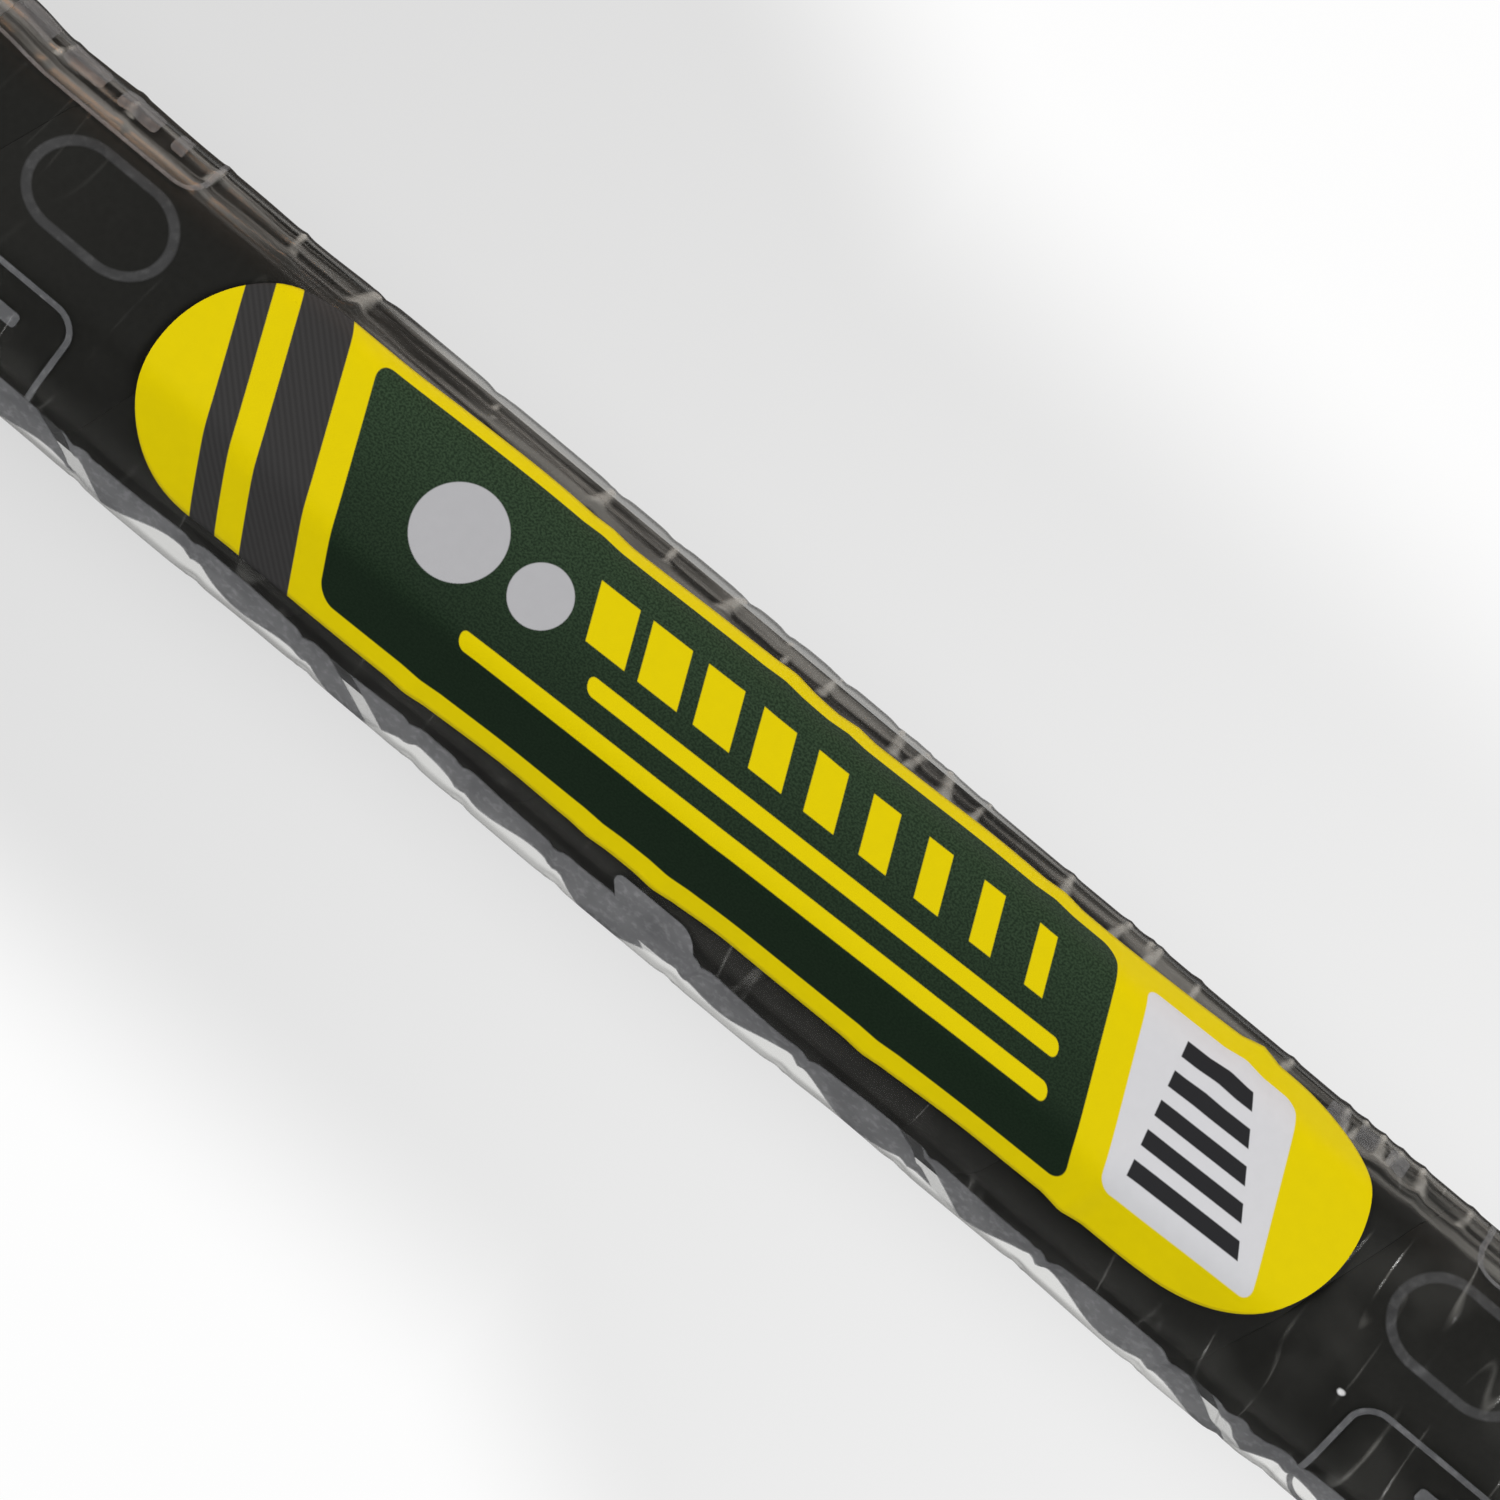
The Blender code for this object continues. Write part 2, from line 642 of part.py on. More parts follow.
def make_finishing_tape():
    """Thin tape over the grip's upper end, drawn in on to the cone."""
    share = TAPE_ON_CONE / CONE_LENGTH
    edge_x = from_butt(CONE_BASE + CLEARANCE)
    start_x = from_butt(CONE_BASE - TAPE_ON_GRIP)
    layers = []
    for growth in (CLEARANCE + TAPE_THICKNESS, CLEARANCE):
        on_grip = octagon(GRIP_OUTER + growth, OCTAGON_PARTS)
        on_cone = at_x(cone_section(share, growth), cone_x(share))
        layers.append([at_x(on_grip, start_x), at_x(on_grip, edge_x), on_cone])
    outside, inside = layers
    add_mesh("finishing_tape", loft(outside + inside[::-1], closed=True), BLACK_TAPE)


def make_sleeve():
    """The clear shrunk sleeve round the grip."""
    ends = (from_butt(GRIP_START), from_butt(SLEEVE_END))
    outside = [at_x(octagon(SLEEVE_OUTER), x) for x in ends]
    inside = [at_x(octagon(SLEEVE_INNER), x) for x in reversed(ends)]
    add_mesh("clear_sleeve", loft(outside + inside, closed=True), CLEAR_FILM)


def make_label():
    """A long round-ended label laid over the upper flat and bent down both bevels."""
    centre = Vector((from_butt(LABEL_CENTRE_FROM_BUTT), LABEL_SHIFT, 0))
    layers = []
    for growth in (SLEEVE_OUTER + CLEARANCE + LABEL_THICKNESS, SLEEVE_OUTER + CLEARANCE):
        across, up, chamfer = octagon_sizes(growth)
        flat = across - chamfer
        layers.append([(-across, up - chamfer), (-flat, up), (flat, up), (across, up - chamfer)])
    outline = layers[0] + layers[1][::-1]
    ends = (centre.x - LABEL_LENGTH, centre.x + LABEL_LENGTH)
    label = add_mesh("label", loft([at_x(outline, x) for x in ends]), YELLOW_PAPER)

    stamp = bmesh.new()
    radius = LABEL_WIDTH / 2
    corners = []
    for end in (1, -1):
        for k in range(LABEL_ARC_STEPS + 1):
            angle = math.pi * (k / LABEL_ARC_STEPS - 0.5)
            reach = LABEL_LENGTH / 2 - radius + radius * math.cos(angle)
            corners.append(Vector((end * reach, end * radius * math.sin(angle), 0)))
    face = stamp.faces.new([stamp.verts.new(corner) for corner in corners])
    raised = bmesh.ops.extrude_face_region(stamp, geom=[face])
    top = [item for item in raised["geom"] if isinstance(item, bmesh.types.BMVert)]
    bmesh.ops.translate(stamp, verts=top, vec=(0, 0, HANDLE_WIDTH + HANDLE_HEIGHT))
    place = Matrix.Translation(centre) @ Matrix.Rotation(LABEL_TURN, 4, "Z")
    bmesh.ops.transform(stamp, verts=stamp.verts, matrix=place)
    combine(label, "INTERSECT", add_mesh("label_stamp", stamp))


make_head_frame()
make_tee_joint()
make_throat_fairing()
make_shaft()
make_string("main_string", main_path())
make_string("cross_string", cross_path())
make_handle_shell()
make_shaft_socket()
make_foam_core()
make_butt_cap()
make_grip_tape()
make_finishing_tape()
make_sleeve()
make_label()
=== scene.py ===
import bisect
import math
import random

import bmesh
import bpy
from mathutils import Matrix, Vector, noise


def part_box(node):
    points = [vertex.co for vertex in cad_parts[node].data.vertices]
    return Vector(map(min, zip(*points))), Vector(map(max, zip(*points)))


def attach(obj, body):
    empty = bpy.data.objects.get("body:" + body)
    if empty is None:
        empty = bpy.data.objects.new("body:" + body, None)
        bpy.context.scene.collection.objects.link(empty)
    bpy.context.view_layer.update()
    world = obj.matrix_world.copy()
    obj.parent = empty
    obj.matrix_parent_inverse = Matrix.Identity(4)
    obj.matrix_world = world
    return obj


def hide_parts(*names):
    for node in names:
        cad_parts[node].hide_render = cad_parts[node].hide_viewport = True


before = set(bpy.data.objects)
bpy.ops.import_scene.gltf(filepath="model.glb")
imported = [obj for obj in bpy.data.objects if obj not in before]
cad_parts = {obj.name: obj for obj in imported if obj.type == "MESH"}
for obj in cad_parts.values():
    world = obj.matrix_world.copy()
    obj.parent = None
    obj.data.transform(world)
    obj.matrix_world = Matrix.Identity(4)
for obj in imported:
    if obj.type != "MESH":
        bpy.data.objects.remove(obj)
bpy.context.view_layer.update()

# Head frame
# The hoop is a graphite moulding with soft edges and a string groove round its outside.
# Its lacquer is dark green with a fine flake, and fades to charcoal at the throat.

head_low, head_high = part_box("head_frame")
AXIS_HEIGHT = (head_low.z + head_high.z) / 2
HEAD_CENTRE_X = (head_low.x + head_high.x) / 2
HOOP_WIDTH = 0.0075
HOOP_HALF = HOOP_WIDTH / 2
HOOP_HALF_DEPTH = (head_high.z - head_low.z) / 2
HOOP_EDGE = 0.0017
HOOP_SOFTENING = 0.00045
HOOP_STEPS = 240
GROOVE_DEPTH = 0.0016
GROOVE_HALF = 0.00215
SQUARENESS = 2.25
SQUARENESS_RISE_TO_TOP = 0.2
SHARP_ANGLE = math.radians(50)
GREEN_PAINT = (0.018, 0.052, 0.030, 1.0)
GREEN_FLAKE = (0.090, 0.200, 0.120, 1.0)
CHARCOAL_PAINT = (0.028, 0.029, 0.031, 1.0)
FLAKE_SCALE = 2400.0
FLAKE_COVER = 0.55
FLAKE_FADE = 0.35
PEEL_SCALE = 700.0
FINE_RELIEF = 0.00001
BLACK = (0.0, 0.0, 0.0, 1.0)
WHITE = (1.0, 1.0, 1.0, 1.0)


class Tint:
    """One output of a material's nodes; sums written on it add Math nodes beside it."""

    def __init__(self, tree, socket=None):
        self.tree = tree
        self.socket = socket

    def fill(self, node, values):
        """Give a node's inputs their values or links."""
        for name, value in values.items():
            if isinstance(value, Tint):
                self.tree.links.new(value.socket, node.inputs[name])
            else:
                node.inputs[name].default_value = value

    def node(self, kind, settings=None, values=None, output=0):
        """Add any node: its settings first, a ramp's stops among them, and then its inputs."""
        made = self.tree.nodes.new("ShaderNode" + kind)
        for name, value in (settings or {}).items():
            if name == "stops":
                for stop, (place, colour) in zip(made.color_ramp.elements, value):
                    stop.position = place
                    stop.color = colour
            else:
                setattr(made, name, value)
        self.fill(made, values or {})
        return Tint(self.tree, made.outputs[output])

    def math(self, operation, *terms):
        return self.node("Math", {"operation": operation}, dict(enumerate(terms)))

    def __add__(self, other):
        return self.math("ADD", self, other)

    def __radd__(self, other):
        return self.math("ADD", other, self)

    def __sub__(self, other):
        return self.math("SUBTRACT", self, other)

    def __rsub__(self, other):
        return self.math("SUBTRACT", other, self)

    def __mul__(self, other):
        return self.math("MULTIPLY", self, other)

    def __rmul__(self, other):
        return self.math("MULTIPLY", other, self)

    def __truediv__(self, other):
        return self.math("DIVIDE", self, other)

    def __pow__(self, other):
        return self.math("POWER", self, other)

    def __abs__(self):
        return self.math("ABSOLUTE", self)

    def sine(self):
        return self.math("SINE", self)

    def wave(self):
        """A sine that runs from 0 to 1."""
        return self.sine() * 0.5 + 0.5

    def at_least(self, other):
        return self.math("MAXIMUM", self, other)

    def at_most(self, other):
        return self.math("MINIMUM", self, other)

    def wrapped(self, period):
        """The place within a tile of a repeat, measured from the tile's middle."""
        return self.math("WRAP", self, period / 2, -period / 2)

    def step(self, low, high):
        """0 below low, 1 above high, and a smooth rise between them."""
        limits = {"Value": self, "From Min": low, "From Max": high}
        return self.node("MapRange", {"interpolation_type": "SMOOTHSTEP"}, limits)

    def part(self, letter):
        """One coordinate of a vector."""
        return self.node("SeparateXYZ", None, {0: self}, letter)

    def blend(self, factor, first, second):
        """A colour between two colours."""
        return self.node("Mix", {"data_type": "RGBA"}, {0: factor, 6: first, 7: second}, 2)

    def cover(self, factor, first, second):
        """A shader between two shaders."""
        return self.node("MixShader", None, {0: factor, 1: first, 2: second})

    def coordinates(self, kind):
        return self.node("TexCoord", None, None, kind)

    def grain(self, place, scale, detail=2.0, roughness=0.5):
        """Soft cloudy noise from 0 to 1."""
        values = {"Vector": place, "Scale": scale, "Detail": detail, "Roughness": roughness}
        return self.node("TexNoise", None, values)

    def stretched_grain(self, place, along, across, detail=2.0):
        """Cloudy noise whose clouds have one size along a chart and another across it."""
        scaled = self.node("Mapping", None, {"Vector": place, "Scale": (along, across, 1.0)})
        return self.grain(scaled, 1.0, detail)

    def relief(self, height, depth):
        """A normal from a height; depth is in metres."""
        return self.node("Bump", None, {"Height": height, "Distance": depth, "Strength": 1.0})


def new_finish(name):
    """A node material, a starting point for its maths, and its shader."""
    material = bpy.data.materials.new(name)
    material.use_nodes = True
    tree = material.node_tree
    return material, Tint(tree), tree.nodes["Principled BSDF"]


def flake_lacquer(name, fade_start, fade_end):
    """Clear lacquer over green paint with flake, which fades to charcoal from one X to another."""
    material, tint, shader = new_finish(name)
    place = tint.coordinates("Object")
    flakes = tint.node("TexVoronoi", None, {"Vector": place, "Scale": FLAKE_SCALE}, "Color").part("X")
    fade = place.part("X").step(fade_start, fade_end)
    mottle = tint.grain(place, 60.0)
    paint = tint.blend(fade, GREEN_PAINT, CHARCOAL_PAINT)
    cover = flakes.step(0.80, 1.0) * (FLAKE_COVER - FLAKE_FADE * fade)
    flaked = tint.blend(cover, paint, GREEN_FLAKE)
    orange_peel = tint.relief(tint.grain(place, PEEL_SCALE), FINE_RELIEF)
    tint.fill(shader, {"Base Color": flaked, "Roughness": 0.22 + 0.10 * mottle, "Coat Weight": 0.6,
                       "Coat Roughness": 0.08, "Normal": orange_peel})
    return material


def made_mesh(name, shape):
    mesh = bpy.data.meshes.new(name)
    shape.to_mesh(mesh)
    shape.free()
    return mesh


def put_in_scene(name, data):
    thing = bpy.data.objects.new(name, data)
    bpy.context.scene.collection.objects.link(thing)
    return thing


def add_piece(name, shape, material, slot, *nodes):
    """Put a finished shape on the racket; it stands for the CAD nodes that are named."""
    bmesh.ops.recalc_face_normals(shape, faces=shape.faces)
    mesh = made_mesh(name, shape)
    mesh.shade_smooth()
    mesh.set_sharp_from_angle(angle=SHARP_ANGLE)
    mesh.materials.append(material)
    return join_racket(put_in_scene(name, mesh), slot, *nodes)


def join_racket(piece, slot, *nodes):
    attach(piece, "root")
    if nodes:
        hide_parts(*nodes)
    return piece


def hoop_centre_line(angle):
    """A point of the hoop's centre line; angle 0 is the top of the head."""
    along = (head_high.x - head_low.x) / 2 - HOOP_HALF
    across = (head_high.y - head_low.y) / 2 - HOOP_HALF
    power = SQUARENESS + SQUARENESS_RISE_TO_TOP * math.cos(angle)
    reach = abs(math.cos(angle) / along) ** power + abs(math.sin(angle) / across) ** power
    radius = reach ** (-1 / power)
    return Vector((HEAD_CENTRE_X + radius * math.cos(angle), radius * math.sin(angle), AXIS_HEIGHT))


def hoop_normal(angle):
    """The hoop's outward direction in the plane of the strings."""
    step = 0.001
    tangent = hoop_centre_line(angle + step) - hoop_centre_line(angle - step)
    return Vector((tangent.y, -tangent.x, 0)).normalized()


def hoop_point(angle, outward, height=0.0):
    """A point beside the hoop's centre line."""
    return hoop_centre_line(angle) + hoop_normal(angle) * outward + Vector((0, 0, height))


def make_hoop():
    """Spin the grooved section round, then lead the ring along the head's oval."""
    shoulder = HOOP_HALF_DEPTH - HOOP_EDGE
    half = [(HOOP_HALF - GROOVE_DEPTH, GROOVE_HALF), (HOOP_HALF, GROOVE_HALF), (HOOP_HALF, shoulder),
            (HOOP_HALF - HOOP_EDGE, HOOP_HALF_DEPTH), (HOOP_EDGE - HOOP_HALF, HOOP_HALF_DEPTH),
            (-HOOP_HALF, shoulder)]
    section = half + [(outward, -height) for outward, height in reversed(half)]
    ring_radius = (head_high.y - head_low.y) / 2
    ring = bmesh.new()
    corners = [ring.verts.new((ring_radius + outward, 0, height)) for outward, height in section]
    ring.faces.new(corners)
    bmesh.ops.bevel(ring, geom=corners, offset=HOOP_SOFTENING, offset_type="OFFSET", affect="VERTICES",
                    segments=3, profile=0.5, material=-1)
    bmesh.ops.delete(ring, geom=ring.faces[:], context="FACES_ONLY")
    bmesh.ops.spin(ring, geom=ring.verts[:] + ring.edges[:], cent=(0, 0, 0), axis=(0, 0, 1),
                   angle=2 * math.pi, steps=HOOP_STEPS, use_merge=True)
    for vert in ring.verts:
        x, y, height = vert.co
        vert.co = hoop_point(math.atan2(y, x), math.hypot(x, y) - ring_radius, height)
    return ring


FADE_LENGTH = 0.11
head_lacquer = flake_lacquer("head_lacquer", head_low.x + FADE_LENGTH, head_low.x)
add_piece("head_hoop", make_hoop(), head_lacquer, "frame_graphite", "head_frame")

# Grommets
# A black nylon bush lines every string hole, so that the string doesn't rub on the graphite.
# Each has a flange in the groove and a short nose inside the hoop.

MAIN_COUNT = 22
CROSS_COUNT = 21
MAIN_MARGIN = 0.0095
CROSS_MARGIN = 0.0165
STRING_LEAD = 0.0012
THROAT_SPREAD = 0.0068
HOLE_RADIUS = 0.00075
ROW_RISE = 0.0011
LEAD_INSET = -(HOOP_HALF + STRING_LEAD)
BED_HALF_WIDTH = (head_high.y - head_low.y) / 2 - HOOP_WIDTH - MAIN_MARGIN
BED_HALF_LENGTH = (head_high.x - head_low.x) / 2 - HOOP_WIDTH - CROSS_MARGIN
BUSH_BORE = 0.00045
FLANGE_RADIUS = 0.00105
FLANGE_THICKNESS = 0.00025
NOSE_LENGTH = 0.0011
NOSE_TAPER = 0.85
BUSH_SIDES = 10
BUSH_BLACK = (0.020, 0.020, 0.021, 1.0)
PLASTIC_RELIEF = 0.00002
LIGHTER = 1.5
HALVINGS = 40
SAME_PLACE = 1e-6


def spread(count, half_span):
    """Evenly spaced places from one side to the other."""
    return [half_span * (2 * k / (count - 1) - 1) for k in range(count)]


def throat_y(y):
    """The main strings fan apart at the throat, to pass either side of the tee joint."""
    return math.copysign(math.hypot(y, THROAT_SPREAD), y)


def lead_x(angle):
    return hoop_point(angle, LEAD_INSET).x


def lead_y(angle):
    return hoop_point(angle, LEAD_INSET).y


def solve(function, target, low, high):
    """Where a function that falls or rises steadily between two angles has a value."""
    rising = function(high) > function(low)
    for _ in range(HALVINGS):
        middle = (low + high) / 2
        if (function(middle) < target) == rising:
            low = middle
        else:
            high = middle
    return (low + high) / 2


MAIN_Y = spread(MAIN_COUNT, BED_HALF_WIDTH)
CROSS_X = [HEAD_CENTRE_X + offset for offset in spread(CROSS_COUNT, BED_HALF_LENGTH)]
MAIN_TOP = [solve(lead_y, y, -math.pi / 2, math.pi / 2) for y in MAIN_Y]
MAIN_THROAT = [solve(lead_y, throat_y(y), math.pi / 2, 3 * math.pi / 2) for y in MAIN_Y]
CROSS_SIDE = [solve(lead_x, x, 0, math.pi) for x in CROSS_X]


def make_bush():
    """One bush: its wall's section is spun round the string's line, which is Z, outwards."""
    floor = HOOP_HALF - GROOVE_DEPTH
    inner_end = -HOOP_HALF - NOSE_LENGTH
    wall = [(BUSH_BORE, floor), (BUSH_BORE, inner_end), (HOLE_RADIUS * NOSE_TAPER, inner_end),
            (HOLE_RADIUS, -HOOP_HALF), (HOLE_RADIUS, floor), (FLANGE_RADIUS, floor),
            (FLANGE_RADIUS, floor + FLANGE_THICKNESS), (BUSH_BORE, floor + FLANGE_THICKNESS)]
    bush = bmesh.new()
    points = [bush.verts.new((radius, 0, outward)) for radius, outward in wall]
    for point, after in zip(points, points[1:] + points[:1]):
        bush.edges.new((point, after))
    bmesh.ops.spin(bush, geom=bush.verts[:] + bush.edges[:], cent=(0, 0, 0), axis=(0, 0, 1),
                   angle=2 * math.pi, steps=BUSH_SIDES, use_merge=True)
    bmesh.ops.remove_doubles(bush, verts=bush.verts, dist=SAME_PLACE)
    return bush


def make_grommets():
    pattern = made_mesh("bush_pattern", make_bush())
    row = bmesh.new()
    holes = [(angle, ROW_RISE) for angle in MAIN_TOP + MAIN_THROAT]
    holes += [(side * angle, -ROW_RISE) for angle in CROSS_SIDE for side in (1, -1)]
    for angle, height in holes:
        before = len(row.verts)
        row.from_mesh(pattern)
        row.verts.ensure_lookup_table()
        turn = hoop_normal(angle).to_track_quat("Z", "Y").to_matrix().to_4x4()
        place = Matrix.Translation(hoop_point(angle, 0, height)) @ turn
        bmesh.ops.transform(row, matrix=place, verts=row.verts[before:])
    bpy.data.meshes.remove(pattern)
    return row


def lightened(colour):
    return [part * LIGHTER for part in colour[:3]] + [1.0]


def black_plastic(name, colour, roughness, grain_scale=900.0):
    """Moulded black plastic with a fine matt grain."""
    material, tint, shader = new_finish(name)
    place = tint.coordinates("Object")
    grain = tint.grain(place, grain_scale, 3.0)
    cloud = tint.grain(place, 90.0)
    shade = tint.blend(cloud, colour, lightened(colour))
    tint.fill(shader, {"Base Color": shade, "Roughness": roughness + 0.15 * (grain - 0.5),
                       "Normal": tint.relief(grain, PLASTIC_RELIEF)})
    return material


bush_nylon = black_plastic("bush_nylon", BUSH_BLACK, 0.42)
add_piece("grommets", make_grommets(), bush_nylon, "inner_plastic")

# Strings
# Two lengths of coated nylon: the first is laced along the racket and the second woven across it.
# Both run through the bushes and along the groove, and each end is tied off with a knot.

STRING_DIAMETER = 0.0007
WEAVE_RISE = 0.00038
EDGE_REACH = 0.005
GROOVE_RUN = HOOP_HALF - GROOVE_DEPTH + FLANGE_THICKNESS + STRING_DIAMETER / 2
KNOT_SIZE = 0.00034
KNOT_POINTS = 28
THREAD_RATE = 9000.0
NYLON_SHADE = (0.62, 0.62, 0.57, 1.0)
NYLON_LIGHT = (0.86, 0.86, 0.82, 1.0)


def crosses(i, j):
    """Whether main i and cross j meet inside the leads of both."""
    x, y = CROSS_X[j], MAIN_Y[i]
    return lead_x(MAIN_THROAT[i]) < x < lead_x(MAIN_TOP[i]) and abs(y) < lead_y(CROSS_SIDE[j])


def main_is_over(i, j):
    """Over and under by turns, but over close to the hoop, where the main's hole is the upper one."""
    x, y = CROSS_X[j], MAIN_Y[i]
    spare_x = min(lead_x(MAIN_TOP[i]) - x, x - lead_x(MAIN_THROAT[i]))
    spare_y = lead_y(CROSS_SIDE[j]) - abs(y)
    return min(spare_x, spare_y) < EDGE_REACH or (i + j) % 2 == 0


def crossing(i, j, string_sign):
    """The point of one of the two strings at a crossing, on a smooth bend."""
    side = string_sign if main_is_over(i, j) else -string_sign
    return Vector((CROSS_X[j], MAIN_Y[i], AXIS_HEIGHT + side * WEAVE_RISE)), "AUTO"


def string_exit(angle, row):
    """From inside the hoop, through its bush, into the groove, in straight lengths."""
    return [(hoop_point(angle, reach, row), "VECTOR") for reach in (LEAD_INSET, GROOVE_RUN)]


def lace(runs, exits, row):
    """Join runs end to end, with a length in the groove from each hole to the next."""
    path = []
    for k, run in enumerate(runs):
        path += run if k % 2 == 0 else reversed(run)
        if k + 1 < len(runs):
            first, second = exits[k][k % 2], exits[k + 1][k % 2]
            path.append((hoop_point((first + second) / 2, GROOVE_RUN, row), "VECTOR"))
    return path


def main_path():
    runs = []
    for i in range(MAIN_COUNT):
        bed = [crossing(i, j, 1) for j in range(CROSS_COUNT) if crosses(i, j)]
        foot = list(reversed(string_exit(MAIN_THROAT[i], ROW_RISE)))
        runs.append(foot + bed + string_exit(MAIN_TOP[i], ROW_RISE))
    return lace(runs, list(zip(MAIN_TOP, MAIN_THROAT)), ROW_RISE)


def cross_path():
    runs = []
    for j in range(CROSS_COUNT):
        bed = [crossing(i, j, -1) for i in range(MAIN_COUNT) if crosses(i, j)]
        left = list(reversed(string_exit(-CROSS_SIDE[j], -ROW_RISE)))
        runs.append(left + bed + string_exit(CROSS_SIDE[j], -ROW_RISE))
    return lace(runs, [(angle, -angle) for angle in CROSS_SIDE], -ROW_RISE)


def trefoil(place):
    """The points of a small overhand knot, drawn tight round a place."""
    points = []
    for k in range(KNOT_POINTS):
        turn = 2 * math.pi * k / KNOT_POINTS
        point = Vector((math.sin(turn) + 2 * math.sin(2 * turn),
                        math.cos(turn) - 2 * math.cos(2 * turn), -math.sin(3 * turn)))
        points.append((place + point * KNOT_SIZE, "AUTO"))
    return points


def lay_string(name, paths, material, *nodes):
    """Round strings along rows of points; a closed row is a knot."""
    curve = bpy.data.curves.new(name, "CURVE")
    curve.dimensions = "3D"
    curve.bevel_depth = STRING_DIAMETER / 2
    curve.bevel_resolution = 2
    curve.resolution_u = 4
    curve.use_fill_caps = True
    curve.materials.append(material)
    for path, closed in paths:
        spline = curve.splines.new("BEZIER")
        spline.bezier_points.add(len(path) - 1)
        spline.use_cyclic_u = closed
        for bend, (place, handle) in zip(spline.bezier_points, path):
            bend.handle_left_type = handle
            bend.handle_right_type = handle
            bend.co = place
    return join_racket(put_in_scene(name, curve), "string", *nodes)


def string_nylon():
    """Pale coated nylon: fine wrapped threads show under the coat."""
    material, tint, shader = new_finish("string_nylon")
    place = tint.coordinates("Object")
    wrap = ((place.part("X") + place.part("Y") + place.part("Z")) * THREAD_RATE).wave()
    cloud = tint.grain(place, 400.0)
    shade = tint.blend(wrap * 0.6 + cloud * 0.4, NYLON_SHADE, NYLON_LIGHT)
    tint.fill(shader, {"Base Color": shade, "Roughness": 0.25 + 0.2 * cloud, "Coat Weight": 0.3,
                       "Normal": tint.relief(wrap, FINE_RELIEF)})
    return material


pale_nylon = string_nylon()
lay_string("main_string_laced", [(main_path(), False)], pale_nylon, "main_string")
lay_string("cross_string_woven", [(cross_path(), False)], pale_nylon, "cross_string")
tie_offs = [(MAIN_THROAT[0], ROW_RISE), (MAIN_THROAT[-1], ROW_RISE),
            (-CROSS_SIDE[0], -ROW_RISE), (CROSS_SIDE[-1], -ROW_RISE)]
knots = [(trefoil(hoop_point(angle, LEAD_INSET - NOSE_LENGTH, row)), True) for angle, row in tie_offs]
lay_string("string_knots", knots, pale_nylon)

# Tee joint
# An aluminium tee ties the hoop to the shaft, with its bar in the hoop and its stem in the shaft.
# It is turned and milled, and bonded in, so it doesn't show on the finished racket.

TURNING_MARKS = 14000.0
ALUMINIUM_SHADE = (0.60, 0.60, 0.62, 1.0)
ALUMINIUM_LIGHT = (0.78, 0.78, 0.80, 1.0)


def turned_aluminium():
    material, tint, shader = new_finish("turned_aluminium")
    place = tint.coordinates("Object")
    marks = (place.part("X") * TURNING_MARKS).wave()
    cloud = tint.grain(place, 500.0)
    shade = tint.blend(cloud, ALUMINIUM_SHADE, ALUMINIUM_LIGHT)
    tint.fill(shader, {"Base Color": shade, "Metallic": 1.0, "Roughness": 0.25 + 0.2 * cloud,
                       "Normal": tint.relief(marks, FINE_RELIEF)})
    return material


def set_finish(node, material):
    """Give a CAD node that stays its own finish."""
    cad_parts[node].data.materials.clear()
    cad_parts[node].data.materials.append(material)


set_finish("tee_joint_core", turned_aluminium())

# Throat fairing
# A moulded graphite collar blends the hoop's throat into the round shaft.
# It is slid over the stem of the tee, bonded, and lacquered with the hoop.

fairing_low, fairing_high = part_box("throat_fairing")
shaft_low, shaft_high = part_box("shaft")
SHAFT_RADIUS = (shaft_high.y - shaft_low.y) / 2
FAIRING_CORNER = 0.0030
FAIRING_CURVE = 2.2
FAIRING_STEPS = 18
FAIRING_LIP = 0.0011
STEM_HOLE_RADIUS = 0.0020
SHAFT_SLIDE = 0.0003
ROUND_SIDES = 64


def bend_sheet(along, around, place, chart=None):
    """A grid bent to shape: place gives the point, and chart the UV, for shares from 0 to 1."""
    sheet = bmesh.new()
    layer = sheet.loops.layers.uv.new("UVMap")
    bmesh.ops.create_grid(sheet, x_segments=along, y_segments=around, size=0.5, calc_uvs=True)
    if chart:
        for face in sheet.faces:
            for loop in face.loops:
                loop[layer].uv = chart(*loop[layer].uv)
    for vert in sheet.verts:
        vert.co = place(vert.co.x + 0.5, vert.co.y + 0.5)
    bmesh.ops.remove_doubles(sheet, verts=sheet.verts, dist=SAME_PLACE)
    return sheet


def from_axis(x, angle, radius):
    """A point round the racket's axis; angle 0 is up, and it grows towards +Y."""
    return Vector((x, radius * math.sin(angle), AXIS_HEIGHT + radius * math.cos(angle)))


def full_turn(share):
    return 2 * math.pi * (share - 0.5)


def rounded_box(angle, half_width, half_depth, corner):
    """A point of a box outline with round corners, as its offsets to the side and up."""
    side, up = math.sin(angle), math.cos(angle)
    return (math.copysign(half_width - corner, side) + corner * side,
            math.copysign(half_depth - corner, up) + corner * up)


